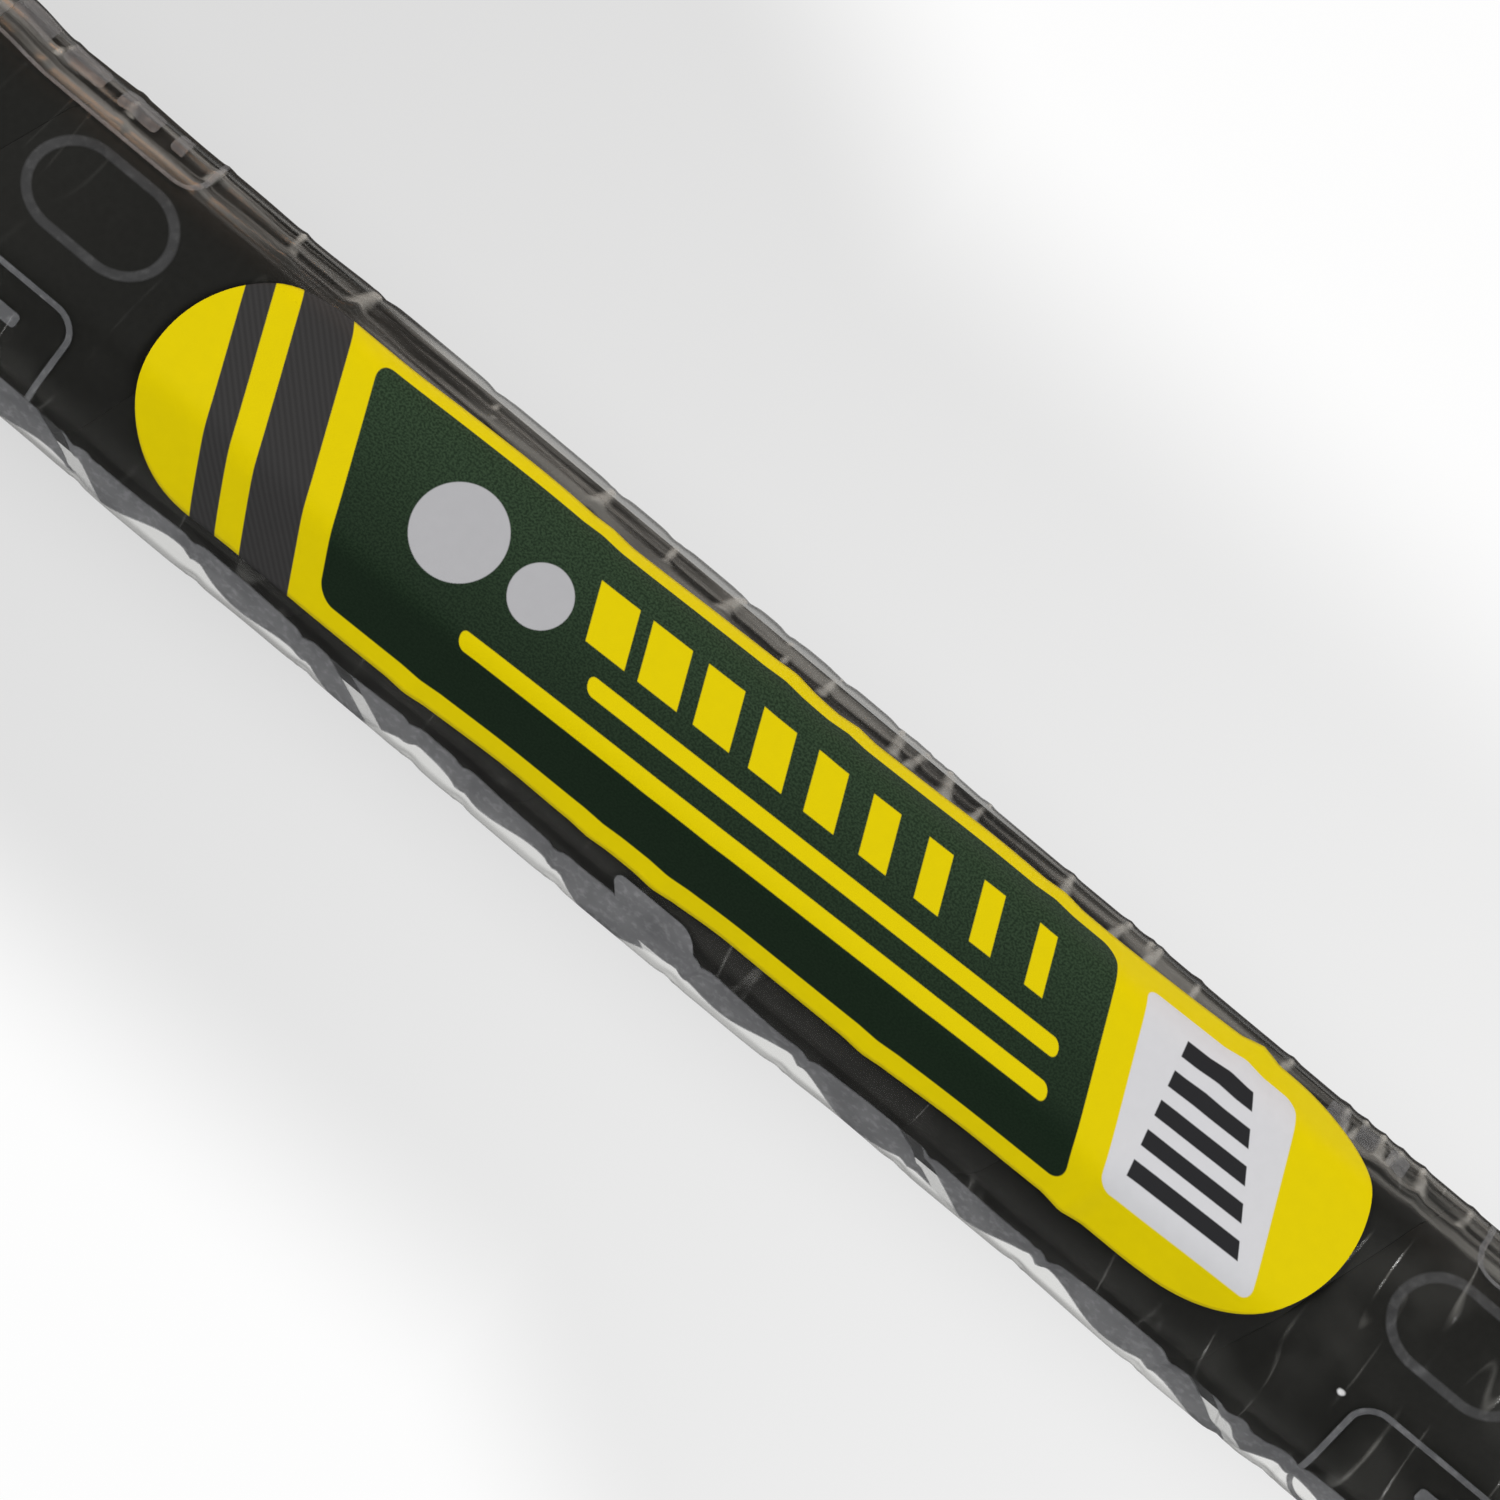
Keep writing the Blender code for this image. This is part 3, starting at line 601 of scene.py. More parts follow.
def fairing_point(along, around):
    """Along runs down the outside to the shaft, in over the lip, and back up the bore."""
    angle = full_turn(around) + math.pi / ROUND_SIDES
    end_radius = SHAFT_RADIUS + FAIRING_LIP
    step = round(along * (FAIRING_STEPS + 3))
    if step <= FAIRING_STEPS:
        share = step / FAIRING_STEPS
        left = (1 - share) ** FAIRING_CURVE
        half_width = end_radius + ((fairing_high.y - fairing_low.y) / 2 - end_radius) * left
        half_depth = end_radius + ((fairing_high.z - fairing_low.z) / 2 - end_radius) * left
        corner = end_radius + (FAIRING_CORNER - end_radius) * left
        side, up = rounded_box(angle, half_width, half_depth, corner)
        x = fairing_high.x + (fairing_low.x - fairing_high.x) * share
        return Vector((x, side, AXIS_HEIGHT + up))
    if step == FAIRING_STEPS + 1:
        return from_axis(fairing_low.x, angle, SHAFT_RADIUS + SHAFT_SLIDE)
    if step == FAIRING_STEPS + 2:
        return from_axis(fairing_high.x, angle, STEM_HOLE_RADIUS)
    return fairing_point(0.0, around)


throat = bend_sheet(FAIRING_STEPS + 3, ROUND_SIDES, fairing_point)
throat_lacquer = flake_lacquer("throat_lacquer", head_low.x + FADE_LENGTH, head_low.x)
add_piece("throat_collar", throat, throat_lacquer, "frame_graphite", "throat_fairing")

# Shaft
# A slim tube rolled from graphite cloth, whose twill shows through the clear lacquer.
# Its upper end is bonded into the throat, and its foot goes deep into the handle.

SHAFT_WALL = 0.0012
SHAFT_STEPS = 30
TWILL_TOW = 0.0011
TOW_DARK = (0.010, 0.010, 0.011, 1.0)
TOW_LIGHT = (0.075, 0.077, 0.082, 1.0)


def shaft_profile():
    """Share of the length and radius of each row: up the outside, down the bore, and round to the start."""
    shares = [k / SHAFT_STEPS for k in range(SHAFT_STEPS + 1)]
    outside = [(share, SHAFT_RADIUS) for share in shares]
    bore = [(share, SHAFT_RADIUS - SHAFT_WALL) for share in reversed(shares)]
    return outside + bore + outside[:1]


SHAFT_ROWS = shaft_profile()


def shaft_point(along, around):
    share, radius = SHAFT_ROWS[round(along * (len(SHAFT_ROWS) - 1))]
    return from_axis(shaft_low.x + (shaft_high.x - shaft_low.x) * share, full_turn(around), radius)


def shaft_chart(along, around):
    """Real lengths along the tube and round it."""
    share, radius = SHAFT_ROWS[round(along * (len(SHAFT_ROWS) - 1))]
    return (shaft_high.x - shaft_low.x) * share, 2 * math.pi * radius * around


def graphite_twill():
    """Over two and under two: tows along the tube and round it take turns on a slant."""
    material, tint, shader = new_finish("graphite_twill")
    uv = tint.coordinates("UV")
    along, around = uv.part("X") / TWILL_TOW, uv.part("Y") / TWILL_TOW
    step = tint.math("FLOOR", along) + tint.math("FLOOR", around)
    over = tint.math("LESS_THAN", tint.math("FLOORED_MODULO", step, 4.0), 2.0)
    across = tint.math("FRACT", around) * over + tint.math("FRACT", along) * (1.0 - over)
    crown = 1.0 - (2.0 * across - 1.0) ** 2.0
    shade = tint.blend(crown * (0.30 + 0.60 * over), TOW_DARK, TOW_LIGHT)
    tint.fill(shader, {"Base Color": shade, "Roughness": 0.32 - 0.10 * over, "Coat Weight": 0.8,
                       "Coat Roughness": 0.05, "Normal": tint.relief(crown, FINE_RELIEF)})
    return material


tube = bend_sheet(len(SHAFT_ROWS) - 1, ROUND_SIDES, shaft_point, shaft_chart)
add_piece("shaft_tube", tube, graphite_twill(), "shaft_graphite", "shaft")

# Handle moulding
# A hollow eight-sided graphite handle that draws in to a cone round the shaft.
# It is moulded in one piece, dark green, with a fine pattern of small dents in its skin.

shell_low, shell_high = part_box("handle_shell")
HANDLE_HALF_WIDTH = (shell_high.y - shell_low.y) / 2
HANDLE_HALF_HEIGHT = (shell_high.z - shell_low.z) / 2
HANDLE_CHAMFER = 0.0048
SHELL_WALL = 0.0012
SHELL_CRISPNESS = 70
CONE_LENGTH = 0.030
CONE_BASE_X = shell_high.x - CONE_LENGTH
CONE_TIP_WALL = 0.0016
CONE_CURVE = 1.3
CONE_STEPS = 30
CONE_SIDES = 128
CONE_ROUNDING = 1.5
DENT_PITCH = 0.0009
DENT_DEPTH = 0.00005
DENT_GREEN = (0.042, 0.104, 0.064, 1.0)


def handle_radius(angle, growth, crispness):
    """The handle's eight-sided skin, grown square to its sides; less crisp means rounder edges."""
    bevel = (HANDLE_HALF_WIDTH + HANDLE_HALF_HEIGHT - HANDLE_CHAMFER) / math.sqrt(2)
    reaches = (HANDLE_HALF_HEIGHT, bevel, HANDLE_HALF_WIDTH, bevel)
    total = 0.0
    for side in range(8):
        facing = math.cos(angle - side * math.pi / 4)
        if facing > 0:
            total += (facing / (reaches[side % 4] + growth)) ** crispness
    return total ** (-1 / crispness)


def cone_radius(share, angle, growth=0.0):
    """The cone's skin, from the eight-sided handle at share 0 to a circle at its tip."""
    base = (HANDLE_HALF_WIDTH + HANDLE_HALF_HEIGHT) / 2
    tip = SHAFT_RADIUS + SHAFT_SLIDE + CONE_TIP_WALL
    radius = tip + (base - tip) * (1 - share) ** CONE_CURVE
    roundness = min(1.0, share * CONE_ROUNDING)
    flat = handle_radius(angle, 0.0, SHELL_CRISPNESS) * radius / base
    return flat + (radius - flat) * roundness + growth


def shell_point(along, around):
    """Along runs up the outside and the cone, in at the tip, and back down inside."""
    angle = full_turn(around)
    step = round(along * (CONE_STEPS + 6))
    hole = SHAFT_RADIUS + SHAFT_SLIDE
    if 1 <= step <= CONE_STEPS + 1:
        share = (step - 1) / CONE_STEPS
        return from_axis(CONE_BASE_X + CONE_LENGTH * share, angle, cone_radius(share, angle))
    if step == CONE_STEPS + 2:
        return from_axis(shell_high.x, angle, hole)
    if step == CONE_STEPS + 3:
        return from_axis(CONE_BASE_X, angle, hole)
    inner = handle_radius(angle, -SHELL_WALL, SHELL_CRISPNESS)
    if step == CONE_STEPS + 4:
        return from_axis(CONE_BASE_X, angle, inner)
    if step == CONE_STEPS + 5:
        return from_axis(shell_low.x, angle, inner)
    return from_axis(shell_low.x, angle, handle_radius(angle, 0.0, SHELL_CRISPNESS))


def shell_chart(along, around):
    """Real lengths along the cone and round it."""
    climb = (along * (CONE_STEPS + 6) - 1) / CONE_STEPS
    return climb * CONE_LENGTH, around * 2 * math.pi * HANDLE_HALF_WIDTH


def dented_green():
    """Satin green skin with staggered rows of small dents."""
    material, tint, shader = new_finish("dented_green")
    uv = tint.coordinates("UV")
    place = tint.coordinates("Object")
    turn = uv.part("Y") * (2 * math.pi / DENT_PITCH)
    climb = uv.part("X") * (2 * math.pi / DENT_PITCH)
    dents = (turn + climb).sine() * (turn - climb).sine()
    cloud = tint.grain(place, 120.0)
    shade = tint.blend(dents * 0.35 + 0.4 + 0.3 * (cloud - 0.5), GREEN_PAINT, DENT_GREEN)
    tint.fill(shader, {"Base Color": shade, "Roughness": 0.34 + 0.12 * cloud, "Coat Weight": 0.25,
                       "Normal": tint.relief(dents, DENT_DEPTH)})
    return material


shell = bend_sheet(CONE_STEPS + 6, CONE_SIDES, shell_point, shell_chart)
add_piece("handle_moulding", shell, dented_green(), "handle_graphite", "handle_shell")

# Cone inlays
# Four pale oval pads, moulded in soft plastic and pressed into the cone.
# Their faces are crowned, with a rounded edge all round.

INLAY_QUARTERS = {"top": 0, "right": 1, "bottom": 2, "left": 3}
INLAY_LENGTH = 0.0068
INLAY_WIDTH = 0.0034
INLAY_SIDES = 40
INLAY_SEAT = 0.0005
INLAY_CROWN = 0.00035
INLAY_EDGE = 0.35
INLAY_SHADE = (0.40, 0.41, 0.41, 1.0)
INLAY_LIGHT = (0.60, 0.61, 0.61, 1.0)


def cone_slope(share, angle, length):
    """How steeply the cone falls over a length of it round a place."""
    reach = length / 2 / CONE_LENGTH
    fall = cone_radius(share - reach, angle) - cone_radius(share + reach, angle)
    return math.atan2(fall, length)


def make_inlay(side, quarter):
    """A round pad, bevelled, stretched to an oval and set on the cone's slope."""
    low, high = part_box(side)
    share = ((low.x + high.x) / 2 - CONE_BASE_X) / CONE_LENGTH
    angle = -math.pi / 2 * quarter
    slope = cone_slope(share, angle, INLAY_LENGTH)
    pad = bmesh.new()
    bmesh.ops.create_cone(pad, cap_ends=True, segments=INLAY_SIDES, radius1=1.0, radius2=1.0, depth=1.0)
    rim = [edge for edge in pad.edges if edge.verts[0].co.z > 0 and edge.verts[1].co.z > 0]
    bmesh.ops.bevel(pad, geom=rim, offset=INLAY_EDGE, affect="EDGES", segments=5, profile=0.5,
                    material=-1)
    size = Matrix.Diagonal((INLAY_LENGTH / 2, INLAY_WIDTH / 2, INLAY_SEAT + INLAY_CROWN, 1))
    lift = Matrix.Translation((0, 0, cone_radius(share, angle) + (INLAY_CROWN - INLAY_SEAT) / 2))
    turn = Matrix.Rotation(math.pi / 2 * quarter, 4, "X")
    centre = Matrix.Translation((CONE_BASE_X + CONE_LENGTH * share, 0, AXIS_HEIGHT))
    place = centre @ turn @ lift @ Matrix.Rotation(slope, 4, "Y") @ size
    bmesh.ops.transform(pad, matrix=place, verts=pad.verts)
    return pad


def pale_rubber():
    material, tint, shader = new_finish("pale_rubber")
    place = tint.coordinates("Object")
    speck = tint.grain(place, 2500.0, 2.0)
    cloud = tint.grain(place, 300.0)
    shade = tint.blend(speck * 0.5 + cloud * 0.5, INLAY_SHADE, INLAY_LIGHT)
    tint.fill(shader, {"Base Color": shade, "Roughness": 0.42 + 0.15 * speck,
                       "Normal": tint.relief(speck, FINE_RELIEF)})
    return material


inlay_finish = pale_rubber()
for side, quarter in INLAY_QUARTERS.items():
    pad = make_inlay("cone_inlay_" + side, quarter)
    add_piece("inlay_pad_" + side, pad, inlay_finish, "inlay", "cone_inlay_" + side)

# Socket and foam
# Inside the handle a moulded block holds the shaft's foot, and rigid foam fills the rest.
# Both are bonded in and don't show on the finished racket.

SOCKET_BLACK = (0.022, 0.022, 0.023, 1.0)
FOAM_MOUTH = (0.36, 0.33, 0.26, 1.0)
FOAM_PALE = (0.62, 0.59, 0.50, 1.0)
FOAM_CELLS = 900.0
FOAM_RELIEF = 0.0002


def handle_foam():
    """Open cells with dark mouths in pale rigid foam."""
    material, tint, shader = new_finish("handle_foam")
    place = tint.coordinates("Object")
    cells = tint.node("TexVoronoi", None, {"Vector": place, "Scale": FOAM_CELLS}, "Distance")
    shade = tint.blend(cells.step(0.1, 0.6), FOAM_MOUTH, FOAM_PALE)
    tint.fill(shader, {"Base Color": shade, "Roughness": 0.85 + 0.1 * cells,
                       "Normal": tint.relief(cells, FOAM_RELIEF)})
    return material


set_finish("shaft_socket", black_plastic("socket_plastic", SOCKET_BLACK, 0.45))
set_finish("foam_core", handle_foam())

# Butt cap
# The flared end of the handle, moulded in black rubbery plastic with a plug that goes inside.
# Its end face has a shallow round-edged recess and is otherwise bare.

cap_low, cap_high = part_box("butt_cap")
grip_low, grip_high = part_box("grip_tape")
sleeve_low, sleeve_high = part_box("clear_sleeve")
CAP_LENGTH = 0.0065
CAP_GROWTH = (cap_high.y - cap_low.y) / 2 - HANDLE_HALF_WIDTH
CAP_MOUTH_GROWTH = 0.00265
CAP_EDGE = 0.0012
CAP_PLUG_GROWTH = -0.0015
CAP_RECESS = 0.0006
# The end face from its middle out: how deep it lies, and its share of the outline.
CAP_FACE = [(CAP_RECESS, 0.0), (CAP_RECESS, 0.35), (CAP_RECESS, 0.63), (CAP_RECESS * 0.6, 0.66),
            (0.0, 0.70), (0.0, 0.96)]
CAP_EDGE_STEPS = 6
CAP_MOUTH_DROP = 0.0002
CAP_CRISPNESS = 34
CAP_SIDES = 144
CAP_BLACK = (0.016, 0.016, 0.017, 1.0)
CAP_GRAIN = 1400.0


def cap_profile():
    """Distance from the butt, growth and share of the outline, from the end face's middle to the plug's."""
    rows = [(depth, CAP_GROWTH - CAP_EDGE, share) for depth, share in CAP_FACE]
    for k in reversed(range(CAP_EDGE_STEPS + 1)):
        turn = math.pi / 2 * k / CAP_EDGE_STEPS
        drop = CAP_EDGE * (1 - math.cos(turn))
        rows.append((CAP_EDGE * (1 - math.sin(turn)), CAP_GROWTH - drop, 1.0))
    mouth = CAP_LENGTH - CAP_EDGE
    plug_end = cap_high.x - cap_low.x
    rows += [(mouth * 0.6, CAP_GROWTH, 1.0), (mouth, CAP_GROWTH - CAP_MOUTH_DROP, 1.0)]
    rows += [(CAP_LENGTH - CAP_EDGE * 0.3, (CAP_GROWTH + CAP_MOUTH_GROWTH) / 2, 1.0)]
    rows += [(CAP_LENGTH, CAP_MOUTH_GROWTH, 1.0), (CAP_LENGTH, CAP_PLUG_GROWTH, 1.0)]
    rows += [(plug_end, CAP_PLUG_GROWTH, 1.0), (plug_end, CAP_PLUG_GROWTH, 0.0)]
    return rows


CAP_ROWS = cap_profile()


def cap_point(along, around):
    distance, growth, share = CAP_ROWS[round(along * (len(CAP_ROWS) - 1))]
    angle = full_turn(around)
    return from_axis(cap_low.x + distance, angle, share * handle_radius(angle, growth, CAP_CRISPNESS))


cap = bend_sheet(len(CAP_ROWS) - 1, CAP_SIDES, cap_point)
cap_rubber = black_plastic("cap_rubber", CAP_BLACK, 0.5, CAP_GRAIN)
add_piece("butt_cap_moulding", cap, cap_rubber, "cap", "butt_cap")

# Grip
# A strip of soft black polyurethane, wound from the butt up to the cone with its edges side by side.
# It is cut square at both ends; fine stippling covers its face.

GRIP_INNER = 0.0003
GRIP_THICKNESS = 0.0020
GRIP_STRIP_WIDTH = 0.024
GRIP_SEAM = 0.00001
GRIP_EDGE = 0.00005
GRIP_PITCH = GRIP_STRIP_WIDTH + GRIP_SEAM
GRIP_CRISPNESS = 26
GRIP_TURN_STEPS = 96
GRIP_SECTION_POINTS = 16
GRIP_TURNS = math.ceil((grip_high.x - grip_low.x) / GRIP_PITCH) + 1
STIPPLE_PITCH = 0.0007
GRIP_SHADE = (0.0080, 0.0080, 0.0072, 1.0)
GRIP_LIGHT = (0.0160, 0.0160, 0.0145, 1.0)
CUT_WIDTH = 1e-7


def grip_point(along, around):
    """Along follows the winding, which climbs towards +Y on the upper side; around goes round the strip."""
    corner = full_turn(around) + math.pi / GRIP_SECTION_POINTS
    across, depth = rounded_box(corner, GRIP_STRIP_WIDTH / 2, GRIP_THICKNESS / 2, GRIP_EDGE)
    growth = GRIP_INNER + GRIP_THICKNESS / 2 + depth
    angle = 2 * math.pi * GRIP_TURNS * along
    x = grip_low.x + GRIP_PITCH * (GRIP_TURNS * along - 0.5) + across
    return from_axis(x, angle, handle_radius(angle, growth, GRIP_CRISPNESS))


def make_grip():
    strip = bend_sheet(GRIP_TURNS * GRIP_TURN_STEPS, GRIP_SECTION_POINTS, grip_point)
    for x, outward in ((grip_low.x, -1), (grip_high.x, 1)):
        cut = strip.verts[:] + strip.edges[:] + strip.faces[:]
        bmesh.ops.bisect_plane(strip, geom=cut, dist=CUT_WIDTH, plane_co=(x, 0, 0),
                               plane_no=(outward, 0, 0), clear_outer=True)
    bmesh.ops.holes_fill(strip, edges=[edge for edge in strip.edges if edge.is_boundary], sides=0)
    return strip


def soft_black():
    """Soft polyurethane: a fine stipple, a little uneven in gloss."""
    material, tint, shader = new_finish("soft_black")
    place = tint.coordinates("Object")
    stipple = tint.node("TexVoronoi", None, {"Vector": place, "Scale": 1 / STIPPLE_PITCH}, "Distance")
    cloud = tint.grain(place, 45.0, 3.0)
    shade = tint.blend(cloud * 0.7 + stipple * 0.3, GRIP_SHADE, GRIP_LIGHT)
    tint.fill(shader, {"Base Color": shade, "Roughness": 0.60 + 0.2 * (cloud - 0.5),
                       "Specular IOR Level": 0.12, "Normal": tint.relief(stipple, FINE_RELIEF)})
    return material


add_piece("grip_strip", make_grip(), soft_black(), "grip", "grip_tape")

# Finishing tape
# One turn of thin black vinyl holds the grip's upper end down on to the cone.
# It is stretched as it goes on, so its lower edge lies over the grip and its upper edge draws in.

tape_low, tape_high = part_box("finishing_tape")
TAPE_OVER_GRIP = 0.00025
TAPE_GROWTH = GRIP_INNER + GRIP_THICKNESS + TAPE_OVER_GRIP
TAPE_OVER_CONE = 0.0003
TAPE_THICKNESS = 0.00022
TAPE_DRAW = 0.55
TAPE_PUCKER = 0.00012
VINYL_SHADE = (0.014, 0.014, 0.015, 1.0)
VINYL_LIGHT = (0.030, 0.030, 0.032, 1.0)
VINYL_RELIEF = 0.00006
TAPE_STEPS = 14
TAPE_SIDES = 160


def tape_point(along, around):
    """Along runs up the outside and back down the inside."""
    angle = full_turn(around)
    rows = 2 * (TAPE_STEPS + 1)
    step = round(along * rows) % rows
    outside = step <= TAPE_STEPS
    share = (step if outside else 2 * TAPE_STEPS + 1 - step) / TAPE_STEPS
    x = tape_low.x + (tape_high.x - tape_low.x) * share
    growth = TAPE_THICKNESS if outside else 0.0
    on_grip = handle_radius(angle, TAPE_GROWTH, GRIP_CRISPNESS)
    rise = max(0.0, (x - CONE_BASE_X) / CONE_LENGTH)
    on_cone = cone_radius(rise, angle, TAPE_OVER_CONE)
    top_share = max(0.0, (x - CONE_BASE_X) / (tape_high.x - CONE_BASE_X))
    drawn_in = top_share ** TAPE_DRAW
    ripple = math.sin(9 * angle + 1.3 * math.sin(3 * angle))
    pucker = TAPE_PUCKER * ripple * 4 * share * (1 - share)
    return from_axis(x, angle, on_grip + (on_cone - on_grip) * drawn_in + growth + pucker)


def vinyl():
    material, tint, shader = new_finish("vinyl")
    place = tint.coordinates("Object")
    stretch = tint.grain(place, 260.0, 3.0)
    shade = tint.blend(stretch, VINYL_SHADE, VINYL_LIGHT)
    tint.fill(shader, {"Base Color": shade, "Roughness": 0.24 + 0.16 * stretch,
                       "Normal": tint.relief(stretch, VINYL_RELIEF)})
    return material


tape = bend_sheet(2 * (TAPE_STEPS + 1), TAPE_SIDES, tape_point)
add_piece("tape_band", tape, vinyl(), "tape", "finishing_tape")

# Clear sleeve
# Thin clear film shrunk loosely over the grip and printed with silver grey shapes.
# It is a flat tube opened out: its two fold edges stand off the grip and are pinched, with a seam below.

FILM_GROWTH = 0.0025
FILM_THICKNESS = 0.00006
FILM_CRISPNESS = 27
FILM_ALONG = 380
FILM_PERIMETER = 0.0842
BUTT_X = cap_low.x
DEGREE = math.pi / 180
ARC_OF_DEGREE = FILM_PERIMETER / 360
# The mesh is finest on the bevels, which show most: angles from the top, and the columns up to each.
FILM_COLUMNS = [(-180, 0), (-105, 12), (-34, 50), (34, 78), (112, 116), (180, 128)]
FILM_AROUND = FILM_COLUMNS[-1][1]
SKIN_REACH = 120
SKIN_FINENESS = 4
FOLD_SHARPNESS = 1.3
LOWER_FOLD = 96
LOWER_REACH = 30
LOWER_STAND_OFF = 0.0021
LOWER_SWAY = 0.00040
SWAY_RATE = 60.0
UPPER_FOLD = -70
UPPER_REACH = 26
UPPER_STAND_OFF = 0.00020
LOOSE_STAND_OFF = 0.00030
LOOSE_STRETCH = (0.083, 0.146)
LOOSE_FADE = 0.006
NOTCH_DEPTH = 0.00025
NOTCH_WIDTH = 0.0009
# Where the fold edges are pinched in, as distances from the butt, and how big the upper edge's pleats are.
LOWER_PINCHES = [0.0245, 0.0293, 0.0385, 0.0515, 0.0645, 0.0772, 0.0890, 0.1018, 0.1120, 0.1175, 0.1290,
                 0.1410, 0.1539, 0.1680]
UPPER_PLEATS = [(0.0130, 0.5), (0.0185, 0.6), (0.0250, 0.4), (0.0309, 0.8), (0.0325, 0.5), (0.0350, 0.7),
                (0.0366, 0.4), (0.0391, 0.6), (0.0444, 0.7), (0.0551, 0.3), (0.0588, 0.8), (0.0604, 0.5),
                (0.0621, 0.7), (0.0689, 0.8), (0.0776, 0.5), (0.0821, 0.9), (0.0840, 0.6), (0.0872, 0.7),
                (0.0938, 0.6), (0.0994, 0.25), (0.1041, 1.0), (0.1117, 0.4), (0.1182, 1.0), (0.1310, 0.2),
                (0.1436, 1.2), (0.1520, 0.4), (0.1600, 0.6), (0.1700, 0.5), (0.1760, 0.4)]
UPPER_PINCHES = [place for place, size in UPPER_PLEATS]
# A pleat runs over these angles, and has this width and height.
LOWER_PLEAT_SPAN = (100, 60)
LOWER_PLEAT_SIZE = (0.00050, 0.00030)
UPPER_PLEAT_SPAN = (-80, -62, -38)
EDGE_PLEAT_SIZE = (0.00045, 0.00014)
BEVEL_PLEAT_SIZE = (0.00060, 0.00044)
PLEAT_LEAN = 0.0024
PLEAT_LEANS = (0.5, -0.2, 0.3, -0.4)
PLEAT_TOP = -69
PLEAT_FOOT = -48
PLEAT_HALF_WIDTH = 0.0012
PLEAT_TIP = 0.1
RIPPLE_CENTRE = -50
RIPPLE_SPAN = 12
RIPPLE_HEIGHT = 0.00022
RIPPLE_DEGREES = 11.0
RIPPLE_SWING = 1.6
RIPPLE_SWING_RATE = 46
RIPPLE_SWELL_RATE = 113
SEAM_DEGREES = 172
SEAM_STEP = 0.00016
TAPE_RISE_START = 0.176
TAPE_RISE_LENGTH = 0.006
TAPE_RISE = 0.0006
FILM_UNEVENNESS = 0.00004
UNEVEN_ALONG = 140
UNEVEN_AROUND = 1.9
LABEL_LENGTH = 0.1234
LABEL_HALF_WIDTH = 0.0114
LABEL_CENTRE = 0.0932
LABEL_SHIFT = 0.0015
LABEL_TURN = 1.8 * DEGREE
LABEL_HOLD = (-0.0004, 0.0020)
# Each crease runs from one place to another, given as distance from the butt and angle from the top,
# with its width and its height.
CREASES = [
    ((0.0257, 0), (0.0279, 41), 0.00060, 0.00028),
    ((0.0216, -21), (0.0235, 24), 0.00070, 0.00034),
    ((0.0200, -18), (0.0222, 22), 0.00060, 0.00028),
    ((0.0315, -7), (0.0257, -7), 0.00045, 0.00022),
    ((0.0192, -7), (0.0150, -7), 0.00045, 0.00022),
    ((0.0310, 28), (0.0209, 28), 0.00050, 0.00026),
    ((0.0247, 31), (0.0251, 37), 0.00090, 0.00060),
    ((0.0293, 52), (0.0312, 92), 0.00080, 0.00034),
    ((0.0255, 50), (0.0276, 92), 0.00090, 0.00036),
    ((0.0330, 44), (0.0390, 56), 0.00070, 0.00024),
    ((0.0390, 56), (0.0440, 50), 0.00070, 0.00024),
    ((0.0350, 66), (0.0372, 80), 0.00060, 0.00024),
    ((0.0372, 66), (0.0350, 80), 0.00060, 0.00020),
    ((0.0485, 62), (0.0510, 92), 0.00060, 0.00026),
    ((0.0505, 60), (0.0522, 88), 0.00050, 0.00022),
    ((0.1840, -40), (0.1300, -44), 0.00050, 0.00024),
    ((0.1760, -56), (0.1480, -54), 0.00050, 0.00030),
    ((0.1500, -60), (0.1180, -62), 0.00050, 0.00016),
    ((0.1370, -50), (0.0960, -47), 0.00045, 0.00026),
    ((0.1130, -58), (0.0800, -60), 0.00050, 0.00018),
    ((0.0930, -50), (0.0560, -52), 0.00045, 0.00030),
    ((0.0700, -61), (0.0330, -58), 0.00050, 0.00016),
    ((0.0420, -44), (0.0090, -42), 0.00050, 0.00026),
    ((0.0330, -55), (0.0100, -60), 0.00050, 0.00018),
    ((0.1720, -70), (0.1500, -66), 0.00055, 0.00016),
    ((0.1800, -64), (0.1620, -74), 0.00055, 0.00016),
    ((0.1560, -26), (0.1420, -32), 0.00060, 0.00012),
    ((0.1585, -44), (0.1400, -46), 0.00060, 0.00018),
    ((0.1520, 54), (0.1536, 88), 0.00045, 0.00014),
    ((0.1660, 27), (0.1550, 29), 0.00050, 0.00010),
]
CREASE_ENDS = 0.35
# Creases on the sides that lie away from the label: the ranges of their place, angle, lean, reach,
# width and height.
UNDER_COUNT = 44
UNDER_SEED = 11
UNDER_RANGES = [(0.009, 0.184), (118, 215), (-0.006, 0.006), (14, 38), (0.0009, 0.0016), (0.00014, 0.00034)]


def hump(distance, width):
    """A soft hump: 1 at its middle and next to nothing past two widths."""
    return math.exp(-(distance / width) ** 2)


def ramp(value, low, high):
    """0 below low, 1 above high, and a smooth rise between them."""
    share = max(0.0, min(1.0, (value - low) / (high - low)))
    return share * share * (3 - 2 * share)


def crease_height(distance, degrees, crease):
    """How far one crease lifts the film at a place."""
    (start, start_degrees), (end, end_degrees), width, height = crease
    if abs(distance - (start + end) / 2) > abs(start - end) / 2 + 3 * width:
        return 0.0
    run = Vector((end - start, (end_degrees - start_degrees) * ARC_OF_DEGREE))
    here = Vector((distance - start, (degrees - start_degrees) * ARC_OF_DEGREE))
    share = max(0.0, min(1.0, here.dot(run) / run.length_squared))
    swell = CREASE_ENDS + (1 - CREASE_ENDS) * math.sin(math.pi * share)
    return height * hump((here - run * share).length, width) * swell


